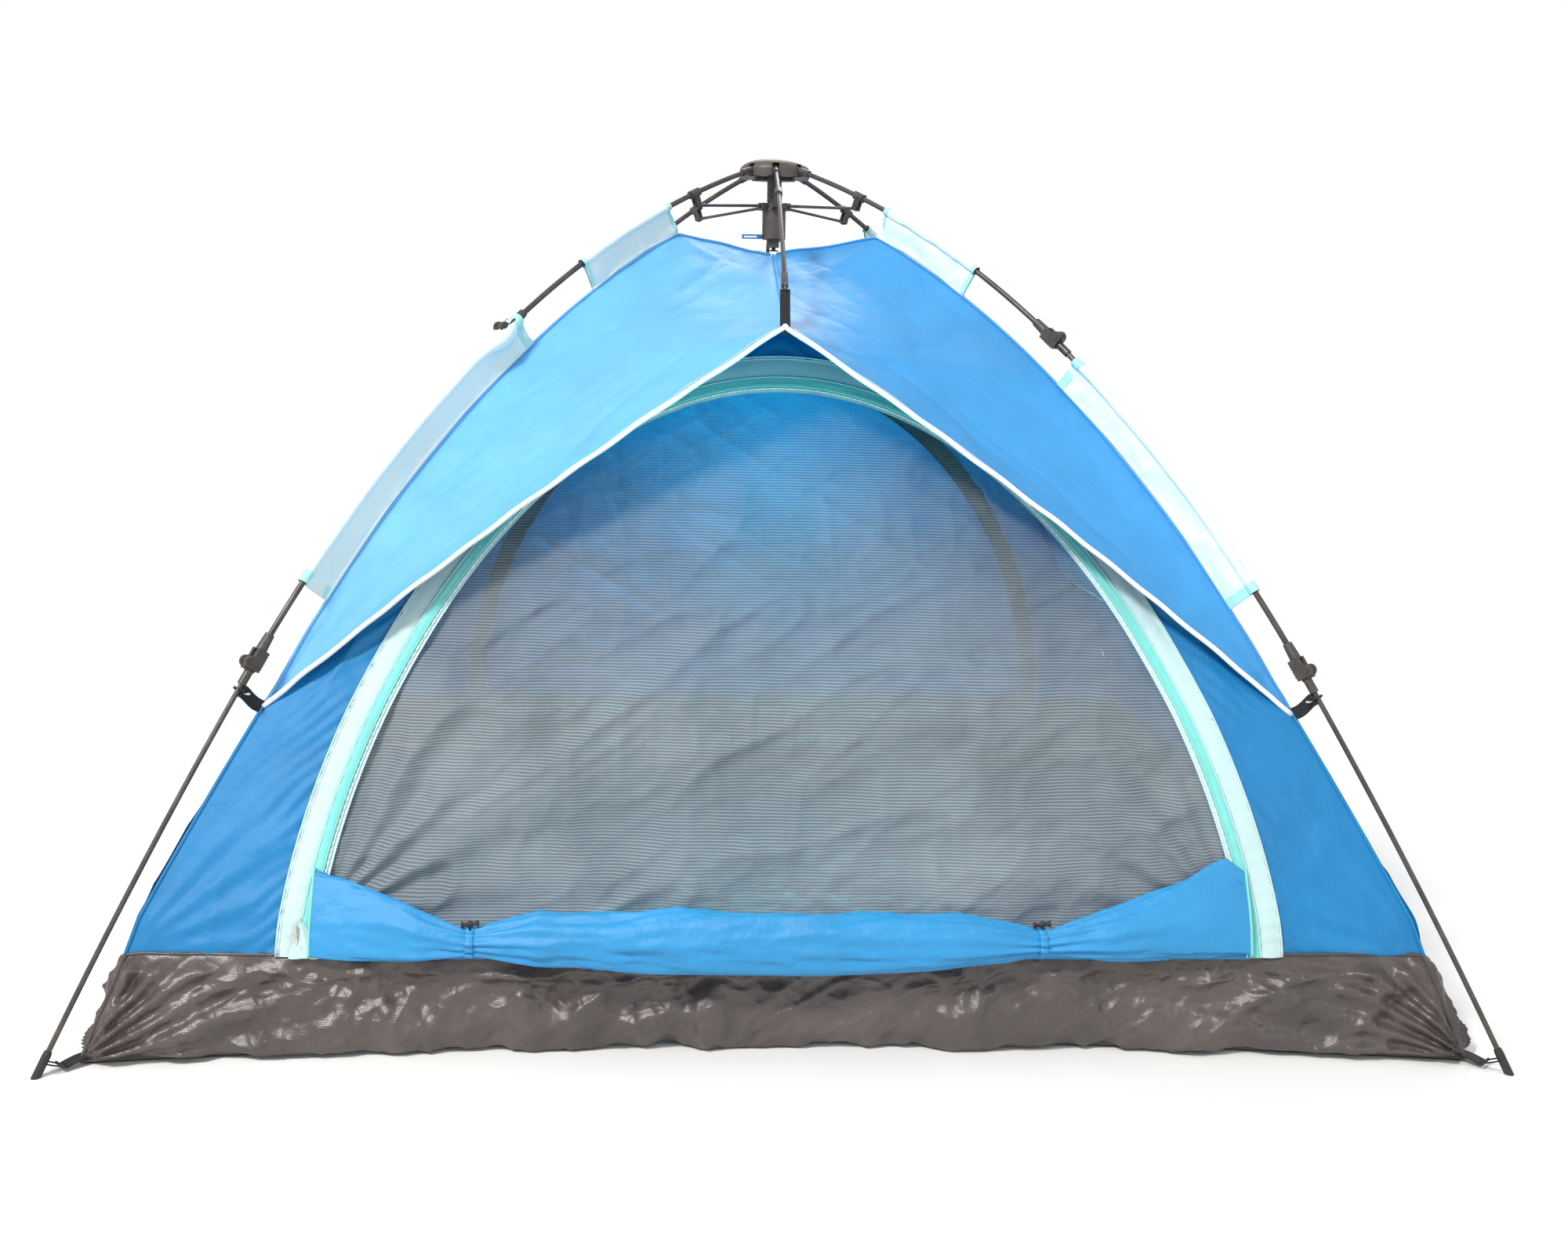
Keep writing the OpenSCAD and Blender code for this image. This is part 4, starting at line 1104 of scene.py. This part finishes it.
def clip(where, turn):
    """Webbing from a canopy corner to an open hook on the lower leg."""
    t = 0.066
    grip = 0.0072  # radius of the hook's middle line
    pole, out = LOWER.at(t), LOWER.outward(t)
    along = np.array([out[1], -out[0]])
    a = np.radians(np.linspace(48, 312, 26))[:, None]
    ring = pole + out * grip * np.cos(a)
    wide = pole - out * grip + along * 0.010 * np.linspace(-1, 1, 7)[:, None]
    b = np.linspace(0, 2 * np.pi, 25)[:, None]
    buckle = pole + out * (-0.014 + 0.004 * np.sin(b)) - np.array([0, 0.002]) * np.sin(b)
    corner = np.array([EAVE_HALF * math.sqrt(2), EAVE_Z])
    k = np.linspace(-0.15, 1.25, 14)[:, None]
    line = lerp(pole - out * 0.014, corner, k) + np.array([0, -0.004]) * np.sin(np.pi * unit(k))
    upright = turned(in_leg_plane(along[0], along[1]), turn)

    def placed(points, side=0.0):
        return turned(in_leg_plane(points[:, 0], points[:, 1], side), turn)

    return (
        ribbon(f"leg_strap_{where}", placed(line), upright, 0.021, 0.0022, strap_mat),
        pipe(f"leg_hook_{where}", placed(ring, grip * np.sin(a[:, 0])), 0.0024, foot_mat, sides=12),
        pipe(f"leg_hook_spine_{where}", placed(wide), 0.0030, foot_mat, sides=12),
        pipe(f"leg_buckle_{where}", placed(buckle, 0.011 * np.cos(b[:, 0])), 0.0014, zip_mat, sides=10),
    )


def corner_tab(where, turn):
    """Webbing from a floor corner, with a bar and a loop of cord that hold the foot."""
    foot = LOWER.at(1.0)[0]
    r = np.linspace(FLOOR_HALF * math.sqrt(2) - 0.045, foot - 0.040, 16)
    z = 0.006 + 0.006 * np.sin(np.linspace(0, np.pi, 16))
    a = np.linspace(0, 2 * np.pi, 33)
    lock = in_leg_plane(foot - 0.036, 0.0085, np.linspace(-0.014, 0.014, 9))
    rise = 0.008 + 0.012 * (1 + np.cos(a)) / 2
    loop = in_leg_plane(foot - 0.024 + 0.014 * np.cos(a), rise, 0.0105 * np.sin(a))
    across = turned([0.0, 1.0, 0.0], turn)
    return (
        ribbon(f"corner_tab_{where}", turned(in_leg_plane(r, z), turn), across, 0.025, 0.0020, strap_mat),
        pipe(f"corner_bar_{where}", turned(lock, turn), 0.0022, foot_mat, sides=10),
        pipe(f"corner_cord_{where}", turned(loop, turn), 0.0013, strap_mat),
    )


def add_apex_loops():
    """Webbing from the canopy's front and back points over the hooks of the ridge arms."""
    tip_r, tip_z = ARM.at(1.0)
    over = np.linspace(0, np.pi, 8)
    first = None
    for k, turn in enumerate((270, 90)):
        a = np.linspace(0, 1, 26)
        down = in_leg_plane(lerp(-APEX[1] + 0.002, tip_r + 0.004, a), lerp(APEX[2] - 0.012, tip_z - 0.002, a))
        top = in_leg_plane(tip_r + 0.004 * np.cos(over), tip_z - 0.002 + 0.004 * np.sin(over))
        path = turned(np.concatenate([down, top, down[::-1] + [-0.008, 0, 0.0]]), turn)
        loop = soft(ribbon(f"apex_loop_{k}", path, turned([0.0, 1.0, 0.0], turn), 0.017, 0.0020, strap_mat))
        first = first or loop
    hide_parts("apex_loops")


# ---------------- CAD nodes that stay


# how a node's name starts, its material and its bevel; the first line that fits counts
FINISHES = (
    (("runner_pins", "crown_pins"), steel_mat, 0.0003),
    (("runner_pull_tab",), wall_mat, 0.0008),
    (("hub_crown", "column_end", "runner"), hub_mat, 0.0010),
    (("upper_elbow", "lower_elbow"), elbow_mat, 0.0007),
    (("foot",), foot_mat, 0.0008),
    (("canopy_hook",), foot_mat, 0.0005),
    (("upper_leg", "middle_leg", "lower_leg", "strut"), tube_mat, 0.0005),
    (("front_arm", "back_arm", "hub_column"), tube_mat, 0.0005),
)


def dress(obj, material, width):
    obj.data.materials.clear()
    obj.data.materials.append(material)
    bevel = obj.modifiers.new("edge", "BEVEL")
    bevel.width, bevel.segments, bevel.limit_method = width, 2, "ANGLE"
    return bevel


def dress_frame():
    for name, obj in frame["nodes"].items():
        for starts, material, width in FINISHES:
            if name.startswith(starts):
                bevel = dress(obj, material, width)
                bevel.angle_limit = math.radians(35)
                bevel.harden_normals = True
                break


def add_zip_slider():
    """A copy of the CAD slider, which can go down with the cloth as a CAD node can't."""
    slider = add_object("zip_slider_cast", frame["nodes"]["zip_slider"].data.copy())
    dress(slider, zip_mat, 0.0008)
    soft(slider, "zip_slider")
    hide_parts("zip_slider")


add_canopy()
add_end(0, "front")
add_end(180, "back")
add_zip()
add_doors()
add_side_walls()
add_tub()
add_groundsheet()
add_sleeves()
add_roll()
add_fittings(clip, "leg_clips")
add_fittings(corner_tab, "corner_tabs")
add_apex_loops()
dress_frame()
add_zip_slider()
